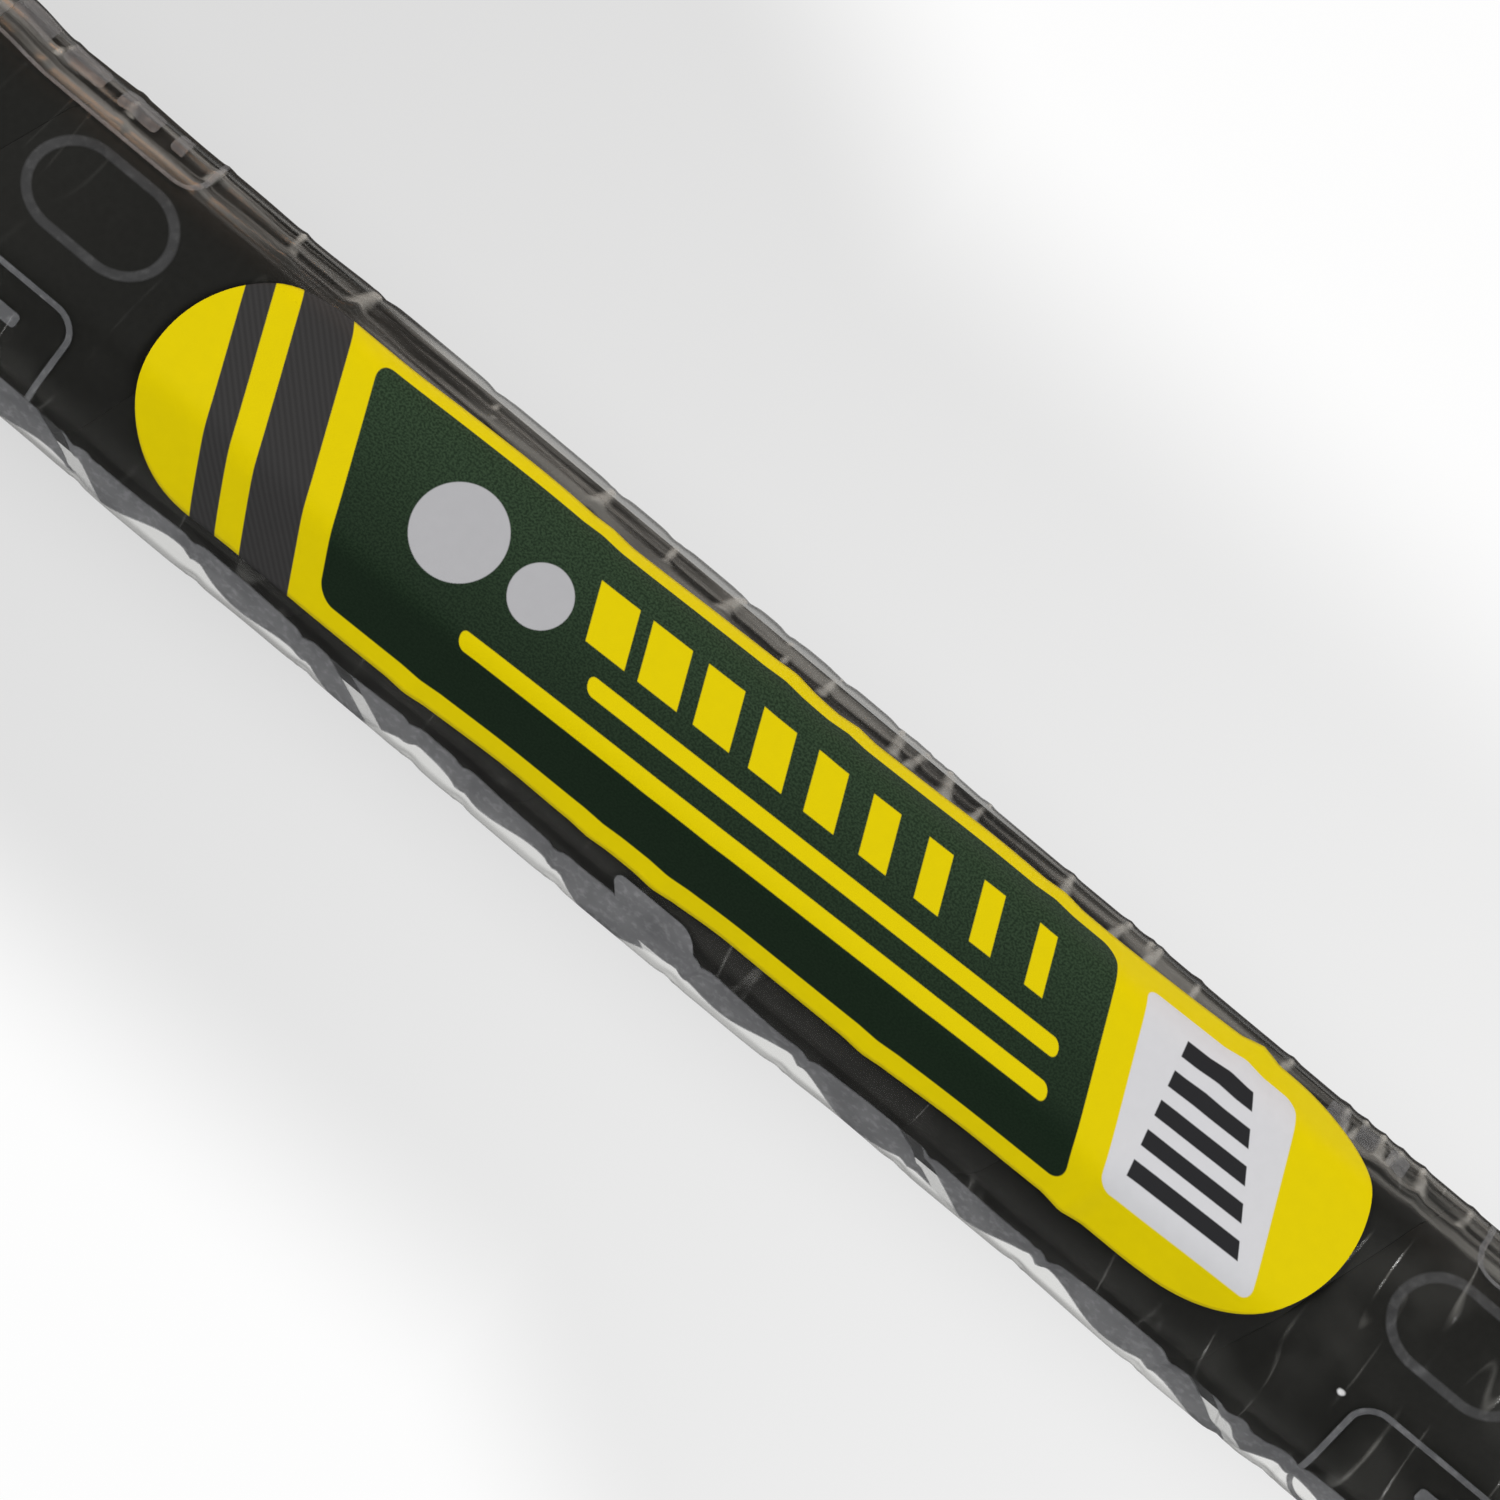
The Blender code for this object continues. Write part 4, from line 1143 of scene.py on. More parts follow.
def under_creases():
    """Creases strewn at random over the underside; angles here run on past 180."""
    strewn = random.Random(UNDER_SEED)
    creases = []
    for _ in range(UNDER_COUNT):
        distance, degrees, lean, reach, width, height = [strewn.uniform(*span) for span in UNDER_RANGES]
        creases.append(((distance, degrees), (distance + lean, degrees + reach), width, height))
    return creases


def lower_pleats():
    """From each pinch a fine pleat leans up over the bevel, away from the label's middle."""
    edge, foot = LOWER_PLEAT_SPAN
    pleats = []
    for pinch in LOWER_PINCHES:
        lean = math.copysign(PLEAT_LEAN, pinch - LABEL_CENTRE)
        pleats.append(((pinch, edge), (pinch + lean, foot), *LOWER_PLEAT_SIZE))
    return pleats


def upper_lean(k):
    """The pleats of the upper edge lean one way and the other by turns."""
    return PLEAT_LEAN * PLEAT_LEANS[k % len(PLEAT_LEANS)]


def upper_pleats():
    """At each pinch a short pleat at the edge and a broader one below it."""
    edge, middle, foot = UPPER_PLEAT_SPAN
    width, height = BEVEL_PLEAT_SIZE
    pleats = []
    for k, (pinch, size) in enumerate(UPPER_PLEATS):
        knee = (pinch + upper_lean(k) / 2, middle)
        pleats.append(((pinch, edge), knee, *EDGE_PLEAT_SIZE))
        pleats.append((knee, (pinch + upper_lean(k), foot), width, height * size))
    return pleats


def pleat_share(distance, degrees):
    """How far a place lies inside a pleat of the upper edge, a small tent in which the film is doubled."""
    share = (degrees - PLEAT_TOP) / (PLEAT_FOOT - PLEAT_TOP)
    if not 0 <= share <= 1:
        return 0.0
    shares = [0.0]
    for k, (pinch, size) in enumerate(UPPER_PLEATS):
        away = abs(distance - pinch - upper_lean(k) * share)
        shares.append(1 - away / (PLEAT_HALF_WIDTH * size * (PLEAT_TIP + (1 - PLEAT_TIP) * share)))
    return max(shares)


TOP_CREASES = CREASES + lower_pleats() + upper_pleats()
UNDER_CREASES = under_creases()


def notch(distance, pinches):
    """How far a fold edge is drawn in at a place."""
    return NOTCH_DEPTH * hump(min(abs(distance - pinch) for pinch in pinches), NOTCH_WIDTH)


def fold(degrees, middle, reach):
    """A fold edge's height round the handle, 1 at the edge itself."""
    return max(0.0, 1 - abs(degrees - middle) / reach) ** FOLD_SHARPNESS


def fold_lift(distance, degrees):
    """The lower edge stands off all along and sways; the upper one lies close but for one loose stretch."""
    sway = noise.noise(Vector((distance * SWAY_RATE, 0.7, 0.2)))
    lower = LOWER_STAND_OFF + LOWER_SWAY * sway - notch(distance, LOWER_PINCHES)
    start, end = LOOSE_STRETCH
    loose = ramp(distance, start - LOOSE_FADE, start + LOOSE_FADE)
    loose *= 1 - ramp(distance, end - LOOSE_FADE, end + LOOSE_FADE)
    upper = UPPER_STAND_OFF + (LOOSE_STAND_OFF - notch(distance, UPPER_PINCHES)) * loose
    return lower * fold(degrees, LOWER_FOLD, LOWER_REACH) + upper * fold(degrees, UPPER_FOLD, UPPER_REACH)


def skin_arc():
    """Angles over the top of the handle and the distance round to each from the top."""
    steps = SKIN_REACH * SKIN_FINENESS
    angles = [k * DEGREE / SKIN_FINENESS for k in range(-steps, steps + 1)]
    points = [from_axis(0, angle, handle_radius(angle, FILM_GROWTH, FILM_CRISPNESS)) for angle in angles]
    arcs = [0.0]
    for point, after in zip(points, points[1:]):
        arcs.append(arcs[-1] + (after - point).length)
    middle = arcs[len(arcs) // 2]
    return angles, [arc - middle for arc in arcs]


SKIN_ANGLES, SKIN_ARCS = skin_arc()


def matching(value, values, others):
    """Where a value lies in one rising row of numbers, read off another row beside it."""
    after = max(1, min(len(values) - 1, bisect.bisect_right(values, value)))
    share = (value - values[after - 1]) / (values[after] - values[after - 1])
    return others[after - 1] + (others[after] - others[after - 1]) * share


def label_clearance(distance, degrees):
    """How far a place on the film is from the label's edge, below zero under the label."""
    place = distance - LABEL_CENTRE
    across = matching(degrees * DEGREE, SKIN_ANGLES, SKIN_ARCS) - LABEL_SHIFT
    turned_place = place * math.cos(LABEL_TURN) + across * math.sin(LABEL_TURN)
    turned_across = across * math.cos(LABEL_TURN) - place * math.sin(LABEL_TURN)
    past_end = max(0.0, abs(turned_place) - (LABEL_LENGTH / 2 - LABEL_HALF_WIDTH))
    return math.hypot(past_end, turned_across) - LABEL_HALF_WIDTH


def film_lift(distance, degrees):
    """How far the film stands off its even octagon at a place; the label holds it flat."""
    lift = fold_lift(distance, degrees)
    swing = RIPPLE_SWING * math.sin(distance * RIPPLE_SWING_RATE)
    wave = math.sin(2 * math.pi * degrees / RIPPLE_DEGREES + swing)
    ripple = RIPPLE_HEIGHT * (0.6 + 0.4 * math.sin(distance * RIPPLE_SWELL_RATE))
    lift += ripple * (1 + wave) / 2 * hump(degrees - RIPPLE_CENTRE, RIPPLE_SPAN)
    lift += sum(crease_height(distance, degrees, crease) for crease in TOP_CREASES)
    lift += sum(crease_height(distance, degrees % 360, crease) for crease in UNDER_CREASES)
    if abs(degrees) > SEAM_DEGREES:
        lift += SEAM_STEP
    lift += TAPE_RISE * ramp(distance, TAPE_RISE_START, TAPE_RISE_START + TAPE_RISE_LENGTH)
    place = Vector((distance * UNEVEN_ALONG, math.sin(degrees * DEGREE) * UNEVEN_AROUND,
                    math.cos(degrees * DEGREE) * UNEVEN_AROUND))
    lift += FILM_UNEVENNESS * noise.noise(place)
    return lift * ramp(label_clearance(distance, degrees), *LABEL_HOLD)


def film_place(along, around):
    """Distance from the butt and angle from the top of a point of the mesh."""
    distance = sleeve_low.x - BUTT_X + (sleeve_high.x - sleeve_low.x) * along
    columns = [column for degrees, column in FILM_COLUMNS]
    return distance, matching(around * FILM_AROUND, columns, [degrees for degrees, column in FILM_COLUMNS])


def film_point(along, around):
    distance, degrees = film_place(along, around)
    radius = handle_radius(degrees * DEGREE, FILM_GROWTH, FILM_CRISPNESS) + film_lift(distance, degrees)
    return from_axis(BUTT_X + distance, degrees * DEGREE, radius)


def film_chart(along, around):
    """Distance from the butt, and distance round from the top, in metres."""
    distance, degrees = film_place(along, around)
    return distance, degrees * ARC_OF_DEGREE


def box_distance(along, across, half_length, half_width, corner):
    """Distance from a rounded box's edge, below zero inside it."""
    end = abs(along) - (half_length - corner)
    side = abs(across) - (half_width - corner)
    outside = (end.at_least(0.0) ** 2.0 + side.at_least(0.0) ** 2.0) ** 0.5
    return outside + end.at_least(side).at_most(0.0) - corner


def inside(distance, blur):
    """A mask that is 1 where a distance is below zero."""
    return 1.0 - distance.step(-blur, blur)


PRINT_BLUR = 0.00008
SILVER_INK = (0.135, 0.137, 0.144, 1.0)
BRIGHT_SILVER = (0.290, 0.292, 0.300, 1.0)
INK_COVER = 0.85
# The printed shapes: where they are, from the butt and round from the top, how far apart, how strong,
# and for each rounded box its half length, its half width and its corner.
PRINT_REPEAT = 0.1625
FRAME_CENTRE = 0.0105
FRAME_LINE = 0.00027
FRAME_COVER = 0.78
FRAME_FADE = 0.30
FRAME_FADE_BAND = (0.004, 0.009)
LOWER_FRAME_ROW = 0.0150
LOWER_FRAME = (0.0125, 0.0072, 0.0024)
UPPER_FRAME_ROW = -0.0152
UPPER_FRAME = (0.0125, 0.0070, 0.0024)
FRAME_BAR_SHIFT = -0.0020
FRAME_BAR_PITCH = 0.0034
FRAME_BARS_REACH = 0.0050
FRAME_BAR = (0.0062, 0.00075, 0.0004)
FRAME_BAR_COVER = 0.8
BLOCK_SHIFT = 0.0015
BLOCK_ROW = -0.0135
BLOCK_PITCH = 0.0058
BLOCKS_REACH = 0.0094
BLOCK = (0.0021, 0.0016, 0.0005)
BLOCK_COVER = 0.4
TICK_PLACE = 0.0360
TICK_ROW = -0.0130
TICK_PITCH = 0.0032
TICKS_REACH = 0.0048
TICK = (0.0010, 0.0014, 0.0004)
TICK_COVER = 0.35
SLAB_PLACE = 0.0927
SLAB_ROW = 0.0180
SLAB_SLANT = 0.5
SLAB = (0.0042, 0.0028, 0.0013)
STRIP_TOP = 0.0179
STRIP_TOP_SWING = 0.0003
STRIP_TOP_RATE = 260.0
STRIP_BOTTOM = 0.0212
STRIP_BOTTOM_SWING = 0.0008
STRIP_BOTTOM_WAVES = [(470.0, 0.0), (203.0, 1.0)]
STRIP_GAP_PITCH = 0.0310
STRIP_GAP_ROW = 0.0200
STRIP_GAP_SLANT = 1.4
STRIP_GAP_HALF = 0.0012
STRIP_GAP_CLEARING = 0.8
LINK_PLACE = 0.0195
LINK_ROW = -0.0015
LINK_PITCH = 0.146
LINK_LINE = 0.00045
LINK = (0.0068, 0.0044, 0.0043)
LINK_COVER = 0.16


def film_print(uv):
    """Rounded frames with bars at both ends, a slab, soft links, and a wavy strip on the lower fold."""
    along, around = uv.part("X"), uv.part("Y")
    frame_x = (along - FRAME_CENTRE).wrapped(PRINT_REPEAT)
    lower_y = around - LOWER_FRAME_ROW
    lower_frame = abs(box_distance(frame_x, lower_y, *LOWER_FRAME))
    upper_frame = abs(box_distance(frame_x, around - UPPER_FRAME_ROW, *UPPER_FRAME))
    lines = inside(lower_frame.at_most(upper_frame) - FRAME_LINE, PRINT_BLUR)
    lines = lines * (FRAME_COVER - FRAME_FADE * (0.0 - around).step(*FRAME_FADE_BAND))

    bar = box_distance(frame_x - FRAME_BAR_SHIFT, lower_y.wrapped(FRAME_BAR_PITCH), *FRAME_BAR)
    bars = inside(bar, PRINT_BLUR) * inside(abs(lower_y) - FRAME_BARS_REACH, PRINT_BLUR)
    block = box_distance((frame_x - BLOCK_SHIFT).wrapped(BLOCK_PITCH), around - BLOCK_ROW, *BLOCK)
    blocks = inside(block, PRINT_BLUR) * inside(abs(frame_x) - BLOCKS_REACH, PRINT_BLUR)
    tick_x = along - TICK_PLACE
    tick = box_distance(tick_x.wrapped(TICK_PITCH), around - TICK_ROW, *TICK)
    ticks = inside(tick, PRINT_BLUR) * inside(abs(tick_x) - TICKS_REACH, PRINT_BLUR)
    slab_y = around - SLAB_ROW
    slab = inside(box_distance(along - SLAB_PLACE + SLAB_SLANT * slab_y, slab_y, *SLAB), PRINT_BLUR)

    top = STRIP_TOP + STRIP_TOP_SWING * (along * STRIP_TOP_RATE).sine()
    bottom = STRIP_BOTTOM
    for rate, start in STRIP_BOTTOM_WAVES:
        bottom = bottom + STRIP_BOTTOM_SWING * (along * rate + start).sine()
    strip = inside(top - around, PRINT_BLUR * 2) * inside(around - bottom, PRINT_BLUR * 2)
    gap = (along + STRIP_GAP_SLANT * (around - STRIP_GAP_ROW)).wrapped(STRIP_GAP_PITCH)
    strip = strip * (1.0 - STRIP_GAP_CLEARING * inside(abs(gap) - STRIP_GAP_HALF, PRINT_BLUR * 3))

    link = box_distance((along - LINK_PLACE).wrapped(LINK_PITCH), around - LINK_ROW, *LINK)
    links = inside(abs(link) - LINK_LINE, PRINT_BLUR * 2)
    for shape in (bars * FRAME_BAR_COVER, slab, strip, blocks * BLOCK_COVER, ticks * TICK_COVER,
                  links * LINK_COVER):
        lines = lines.at_least(shape)
    return lines


# Bands of haze, painted highlight and painted shade round the film: where each starts and is full, and
# where it fades and ends.
UPPER_BEVEL = (0.0078, 0.0100, 0.0148, 0.0160)
LOWER_BEVEL = (0.0075, 0.0105, 0.0178, 0.0186)
LOWER_RIM = (0.0125, 0.0160, 0.0178, 0.0186)
DARK_BAND = (0.0147, 0.0156, 0.0205, 0.0220)
LOOSE_BAND = (0.066, 0.082, 0.134, 0.144)
BUTT_END = (0.032, 0.044)
HEAD_END = (0.135, 0.150)
UPPER_RIM = (0.0125, 0.0160)
# Clouds to the metre, along the film and round it.
STREAK_GRAIN = (45.0, 800.0)
WRINKLE_GRAIN = (190.0, 30.0, 0.6)
CLOUD_GRAIN = (120.0, 120.0)
WRINKLE_FINENESS = 70.0
# How strong each painted highlight is. Streaks stand in for reflections on the upper bevel and wrinkles for
# highlights along creases. Clouds and the rim lift the lower bevel's shade. Pleats add painted highlights
# to the haze of doubled film, most at the rim.
STREAK_HIGHLIGHT = 0.17
WRINKLE_HIGHLIGHT = 0.11
CLOUD_PAINTED_LIGHT = 0.017
RIM_PAINTED_LIGHT = 0.014
PLEAT_HAZE_AND_HIGHLIGHT = 0.28
PLEAT_RIM_HIGHLIGHT = 0.24
# How strong the painted shade on the upper fold is, and how much of it the loose stretch clears.
BAND_SHADE = 0.68
LOOSE_CLEARING = 0.38


def band(place, start, full, fade, end):
    """1 within a band and 0 outside it, with soft edges."""
    return place.step(start, full) * (1.0 - place.step(fade, end))


def film_haze_and_painted_light(tint, uv):
    """Painted highlights in streaks and wrinkles, doubled-film haze with painted highlights in pleats,
    painted light over the lower bevel and its rim, painted shade on the upper fold, and where the folds
    are.
    """
    along, around = uv.part("X"), uv.part("Y")
    upper = 0.0 - around
    on_lower_bevel = band(around, *LOWER_BEVEL)
    at_butt = 1.0 - along.step(*BUTT_END)
    streaks = tint.stretched_grain(uv, *STREAK_GRAIN).step(0.36, 0.72) * band(upper, *UPPER_BEVEL)
    field = tint.stretched_grain(uv, *WRINKLE_GRAIN)
    fade = tint.stretched_grain(uv, *CLOUD_GRAIN)
    wrinkles = (1.0 - abs(field - 0.5) * WRINKLE_FINENESS).at_least(0.0) * fade.step(0.42, 0.70)
    wrinkles = wrinkles * (on_lower_bevel * 0.7).at_least(at_butt).at_least(0.12)
    cloud = fade.step(0.44, 0.70) * (on_lower_bevel * 0.6).at_least(at_butt)
    pleats = tint.node("Attribute", {"attribute_name": "film_fold"}, None, "Fac").step(0.0, 0.9)
    pleats = pleats * (PLEAT_HAZE_AND_HIGHLIGHT + PLEAT_RIM_HIGHLIGHT * upper.step(*UPPER_RIM))
    folds = wrinkles.at_least(streaks * along.step(*HEAD_END))
    # Painted highlights and painted light as a pale veil: streaks, the lower rim, clouds and wrinkles, with
    # the pleats' haze and painted highlights.
    pale = streaks * STREAK_HIGHLIGHT + band(around, *LOWER_RIM) * RIM_PAINTED_LIGHT + cloud * CLOUD_PAINTED_LIGHT
    pale = pale + (wrinkles * WRINKLE_HIGHLIGHT).at_least(pleats)
    # Painted shade on the upper fold band, partly cleared on the loose stretch.
    dark = band(upper, *DARK_BAND) * (BAND_SHADE - LOOSE_CLEARING * band(along, *LOOSE_BAND))
    return pale, dark, folds


FILM_TINT = (0.975, 0.975, 0.97, 1.0)
FILM_MIRROR = 0.03
FILM_GLANCE = 0.15
FILM_ROUGHNESS = 0.12
FILM_RELIEF = 0.00006
FILM_CRINKLE = 130.0
GLANCE_POWER = 3.0
# A small bubble in the film catches the light; its place is from the butt and round from the top.
BUBBLE_MIRROR = 0.50
BUBBLE_PLACE = (0.0250, 0.00865)
BUBBLE_EDGE = (0.00020, 0.00048)
# Painted shade where the film is seen edge-on, stronger the more it slants.
EDGE_SHADE = 0.9
EDGE_POWER = 10.0
# The pale veil's tint: haze of doubled film and painted highlights.
HAZE_AND_HIGHLIGHT_TINT = (0.50, 0.49, 0.455, 1.0)
SHADE_TINT = (0.035, 0.032, 0.028, 1.0)


def clear_film():
    """Clear film: painted highlights at creases, pleats and streaks, painted shade on its upper fold and at
    a slant, a mirror in its folds, and the silver print on it.
    """
    material, tint, shader = new_finish("printed_clear_film")
    uv = tint.coordinates("UV")
    place = tint.coordinates("Object")
    pale, dark, folds = film_haze_and_painted_light(tint, uv)
    crinkle = tint.relief(folds + tint.grain(place, FILM_CRINKLE), FILM_RELIEF)
    facing = tint.node("LayerWeight", None, {"Blend": 0.5}, "Facing")
    along, around = uv.part("X") - BUBBLE_PLACE[0], uv.part("Y") - BUBBLE_PLACE[1]
    bubble = 1.0 - ((along ** 2.0 + around ** 2.0) ** 0.5).step(*BUBBLE_EDGE)
    mirror = FILM_MIRROR * folds + FILM_GLANCE * facing.step(0.5, 1.0) ** GLANCE_POWER
    mirror = mirror + BUBBLE_MIRROR * bubble
    clear = tint.node("BsdfTransparent", None, {"Color": FILM_TINT})
    gloss = tint.node("BsdfGlossy", None, {"Color": WHITE, "Roughness": FILM_ROUGHNESS, "Normal": crinkle})
    film = tint.cover(mirror, clear, gloss)
    # Painted shade at a slant darkens the film's edges.
    dark = dark.at_least(EDGE_SHADE * facing ** EDGE_POWER)
    highlight_veil = tint.node("BsdfDiffuse", None, {"Color": HAZE_AND_HIGHLIGHT_TINT})
    shade_veil = tint.node("BsdfDiffuse", None, {"Color": SHADE_TINT})
    haze_and_painted_light = tint.cover((dark - pale).step(-0.05, 0.10), highlight_veil, shade_veil)
    film_with_painted_light = tint.cover(pale.at_least(dark), film, haze_and_painted_light)
    fine, coarse = tint.grain(place, 1500.0), tint.grain(place, 260.0)
    speck = fine.step(0.45, 0.80) * 0.6 + coarse.step(0.25, 0.75) * 0.4
    ink = tint.blend(speck, SILVER_INK, BRIGHT_SILVER)
    tint.fill(shader, {"Base Color": ink, "Roughness": 0.42, "Metallic": 0.25, "Normal": crinkle})
    printed = Tint(tint.tree, shader.outputs[0])
    whole = tint.cover(film_print(uv) * INK_COVER, film_with_painted_light, printed)
    tint.fill(tint.tree.nodes["Material Output"], {"Surface": whole})
    return material


def thicken(piece, name, thickness, offset):
    """Give a sheet its thickness, inwards or outwards."""
    wall = piece.modifiers.new(name, "SOLIDIFY")
    wall.thickness = thickness
    wall.offset = offset


film_shape = bend_sheet(FILM_ALONG, FILM_AROUND, film_point, film_chart)
fold_layer = film_shape.verts.layers.float.new("film_fold")
for vert in film_shape.verts:
    degrees = math.atan2(vert.co.y, vert.co.z - AXIS_HEIGHT) / DEGREE
    vert[fold_layer] = pleat_share(vert.co.x - BUTT_X, degrees)
sleeve = add_piece("film_sleeve", film_shape, clear_film(), "film", "clear_sleeve")
thicken(sleeve, "film_wall", FILM_THICKNESS, -1.0)

# Label
# A long round-ended paper label, printed in yellow and dark green and stuck over the sleeve.
# It is bent down over both bevels, and follows the film's unevenness with shallow waves and bends.

LABEL_GROWTH = 0.0028
LABEL_THICKNESS = 0.00015
LABEL_ALONG = 260
LABEL_AROUND = 56
LABEL_CRISPNESS = 28
LABEL_ARC_STEPS = 24
LABEL_WAVE = 0.00010
LABEL_RIM_WAVE = 0.00016
LABEL_WAVE_RATES = (75, 60)
RIM_WAVE_RATE = 240
# Each bend crosses the label where the film is pinched: its place from the label's middle, and its height.
LABEL_BENDS = [(0.0254, 0.00020), (0.0062, 0.00018), (-0.0006, 0.00024), (-0.0225, 0.00022),
               (-0.0433, 0.00048)]
BEND_LEAN = 0.24
BEND_REACH = 0.0020


def label_flat(along, around):
    """A place on the flat label: its distance along and across from the middle."""
    straight = LABEL_LENGTH / 2 - LABEL_HALF_WIDTH
    arc_share = LABEL_ARC_STEPS / LABEL_ALONG
    if arc_share < along < 1 - arc_share:
        place = ((along - arc_share) / (1 - 2 * arc_share) * 2 - 1) * straight
        half_width = LABEL_HALF_WIDTH
    else:
        end = 1 if along > 0.5 else -1
        turn = (1 - min(along, 1 - along) / arc_share) * math.pi / 2
        place = end * (straight + LABEL_HALF_WIDTH * math.sin(turn))
        half_width = LABEL_HALF_WIDTH * math.cos(turn)
    return place, (2 * around - 1) * half_width


def label_rise(place, across):
    """How far the label stands off the even handle: waves all over, and bends, highest at its rims."""
    along_rate, across_rate = LABEL_WAVE_RATES
    wave = noise.noise(Vector((place * along_rate, across * across_rate, 3.0)))
    rim = abs(across / LABEL_HALF_WIDTH)
    rise = LABEL_WAVE * wave + LABEL_RIM_WAVE * rim ** 3 * math.sin(place * RIM_WAVE_RATE + 2 * wave)
    for bend, height in LABEL_BENDS:
        rise += height * rim * max(0.0, 1 - abs(place - bend - BEND_LEAN * across) / BEND_REACH)
    return rise


def label_point(along, around):
    place, across = label_flat(along, around)
    turned_place = place * math.cos(LABEL_TURN) - across * math.sin(LABEL_TURN)
    turned_across = place * math.sin(LABEL_TURN) + across * math.cos(LABEL_TURN)
    angle = matching(LABEL_SHIFT + turned_across, SKIN_ARCS, SKIN_ANGLES)
    radius = handle_radius(angle, LABEL_GROWTH + label_rise(place, across), LABEL_CRISPNESS)
    return from_axis(BUTT_X + LABEL_CENTRE + turned_place, angle, radius)


YELLOW_INK = (0.72, 0.575, 0.0, 1.0)
DARK_GREEN_INK = (0.0058, 0.0135, 0.0068, 1.0)
# The light green reached by the speckle and by the painted sheen.
SPECKLE_AND_SHEEN_GREEN = (0.0346, 0.0620, 0.0325, 1.0)
GREY_INK = (0.034, 0.033, 0.033, 1.0)
PALE_GREY_INK = (0.43, 0.43, 0.445, 1.0)
WHITE_INK = (0.63, 0.63, 0.65, 1.0)
BLACK_INK = (0.022, 0.022, 0.024, 1.0)
# The green's painted sheen: its base lightness, and each rise with the range across the label over which it
# lightens towards the upper rim.
GREEN_BASE = 0.13
GREEN_SHEEN_RISES = [(0.27, -0.0058, -0.0032), (0.60, -0.0040, 0.0090)]
SPECKLE_BASE = 0.30
SPECKLE_GRAIN = (4600.0, 5200.0, 1.0)
LABEL_BLUR = 0.00007
SLANT = 0.42
# Slanted boxes: place along and across, half length, half width and corner.
PANEL = (0.0035, 0.0, 0.0390, 0.0096, 0.0016)
LINES = [(-0.0075, 0.0010, 0.0245, 0.00075, 0.0007), (-0.0015, 0.0044, 0.0305, 0.00075, 0.0007)]
TAB = (-0.0465, -0.0004, 0.0078, 0.0080, 0.0012)
# Bars and rungs: where their row is, how far it reaches, and how far apart they are.
BAR_PLACE = -0.0070
BARS_REACH = 0.0252
BAR_ROW = -0.0040
BAR_HALF_LENGTH = 0.0024
BAR_START = -0.0005
BAR_PITCH = 0.0056
BAR_THIN_PLACE = -0.0300
BAR_THIN_HALF = 0.0009
BAR_WIDENING = 0.028
RUNG_PITCH = 0.0026
RUNG_HALF = 0.0007
RUNGS_REACH = 0.0066
RUNG_SHORT_ROW = -0.0084
RUNG_SHORT_HALF = 0.0030
RUNG_LENGTHENING = 0.20
# Discs and stripes: place along the label, and radius or half width.
DISCS = [(0.0325, 0.0042), (0.0240, 0.0028)]
DISC_ROW = -0.0022
STRIPES = [(0.0480, 0.0026), (0.0545, 0.0013)]
STRIPE_THREADS = 9000.0


def green_ink_with_sheen(tint, uv, across):
    """Dark green ink, with a painted sheen that lightens it towards the upper rim, where its speckle also
    shows more.
    """
    lighter = GREEN_BASE
    for share, start, end in GREEN_SHEEN_RISES:
        lighter = lighter + share * (0.0 - across).step(start, end)
    speckle = tint.stretched_grain(uv, *SPECKLE_GRAIN).step(0.32, 0.68)
    speckle = SPECKLE_BASE + (1 - SPECKLE_BASE) * speckle
    return tint.blend(speckle * lighter, DARK_GREEN_INK, SPECKLE_AND_SHEEN_GREEN)


def label_print(tint, uv):
    """Plain stripes: a slanted green panel with bars and lines, grey stripes, discs and a white tab."""
    along, across = uv.part("X"), uv.part("Y")
    slanted = along + SLANT * across

    def within(distance):
        return inside(distance, LABEL_BLUR)

    def slanted_box(place, row, *size):
        return within(box_distance(slanted - place, across - row, *size))

    colour = tint.blend(slanted_box(*PANEL), YELLOW_INK, green_ink_with_sheen(tint, uv, across))

    bar_half = BAR_THIN_HALF + (slanted - BAR_THIN_PLACE) * BAR_WIDENING
    marks = within(abs((slanted - BAR_START).wrapped(BAR_PITCH)) - bar_half)
    marks = marks * within(abs(across - BAR_ROW) - BAR_HALF_LENGTH)
    marks = marks * within(abs(slanted - BAR_PLACE) - BARS_REACH)
    for line in LINES:
        marks = marks.at_least(slanted_box(*line))
    colour = tint.blend(marks, colour, YELLOW_INK)

    for place, radius in DISCS:
        disc = ((along - place) ** 2.0 + (across - DISC_ROW) ** 2.0) ** 0.5 - radius
        colour = tint.blend(within(disc), colour, PALE_GREY_INK)

    threads = (along * STRIPE_THREADS + across * STRIPE_THREADS).wave() * 0.5
    grey = tint.blend(threads, GREY_INK, lightened(GREY_INK))
    for place, half_width in STRIPES:
        colour = tint.blend(within(abs(slanted - place) - half_width), colour, grey)

    colour = tint.blend(slanted_box(*TAB), colour, WHITE_INK)
    tab_place, tab_row = TAB[:2]
    rung_half = RUNG_SHORT_HALF + (across - RUNG_SHORT_ROW) * RUNG_LENGTHENING
    rungs = within(abs((across - tab_row).wrapped(RUNG_PITCH)) - RUNG_HALF)
    rungs = rungs * within(abs(slanted - tab_place) - rung_half)
    rungs = rungs * within(abs(across - tab_row) - RUNGS_REACH)
    return tint.blend(rungs, colour, BLACK_INK)


PAPER_RELIEF = 0.00012
PAPER_FIBRE = 900.0
PAPER_SAG = 110.0


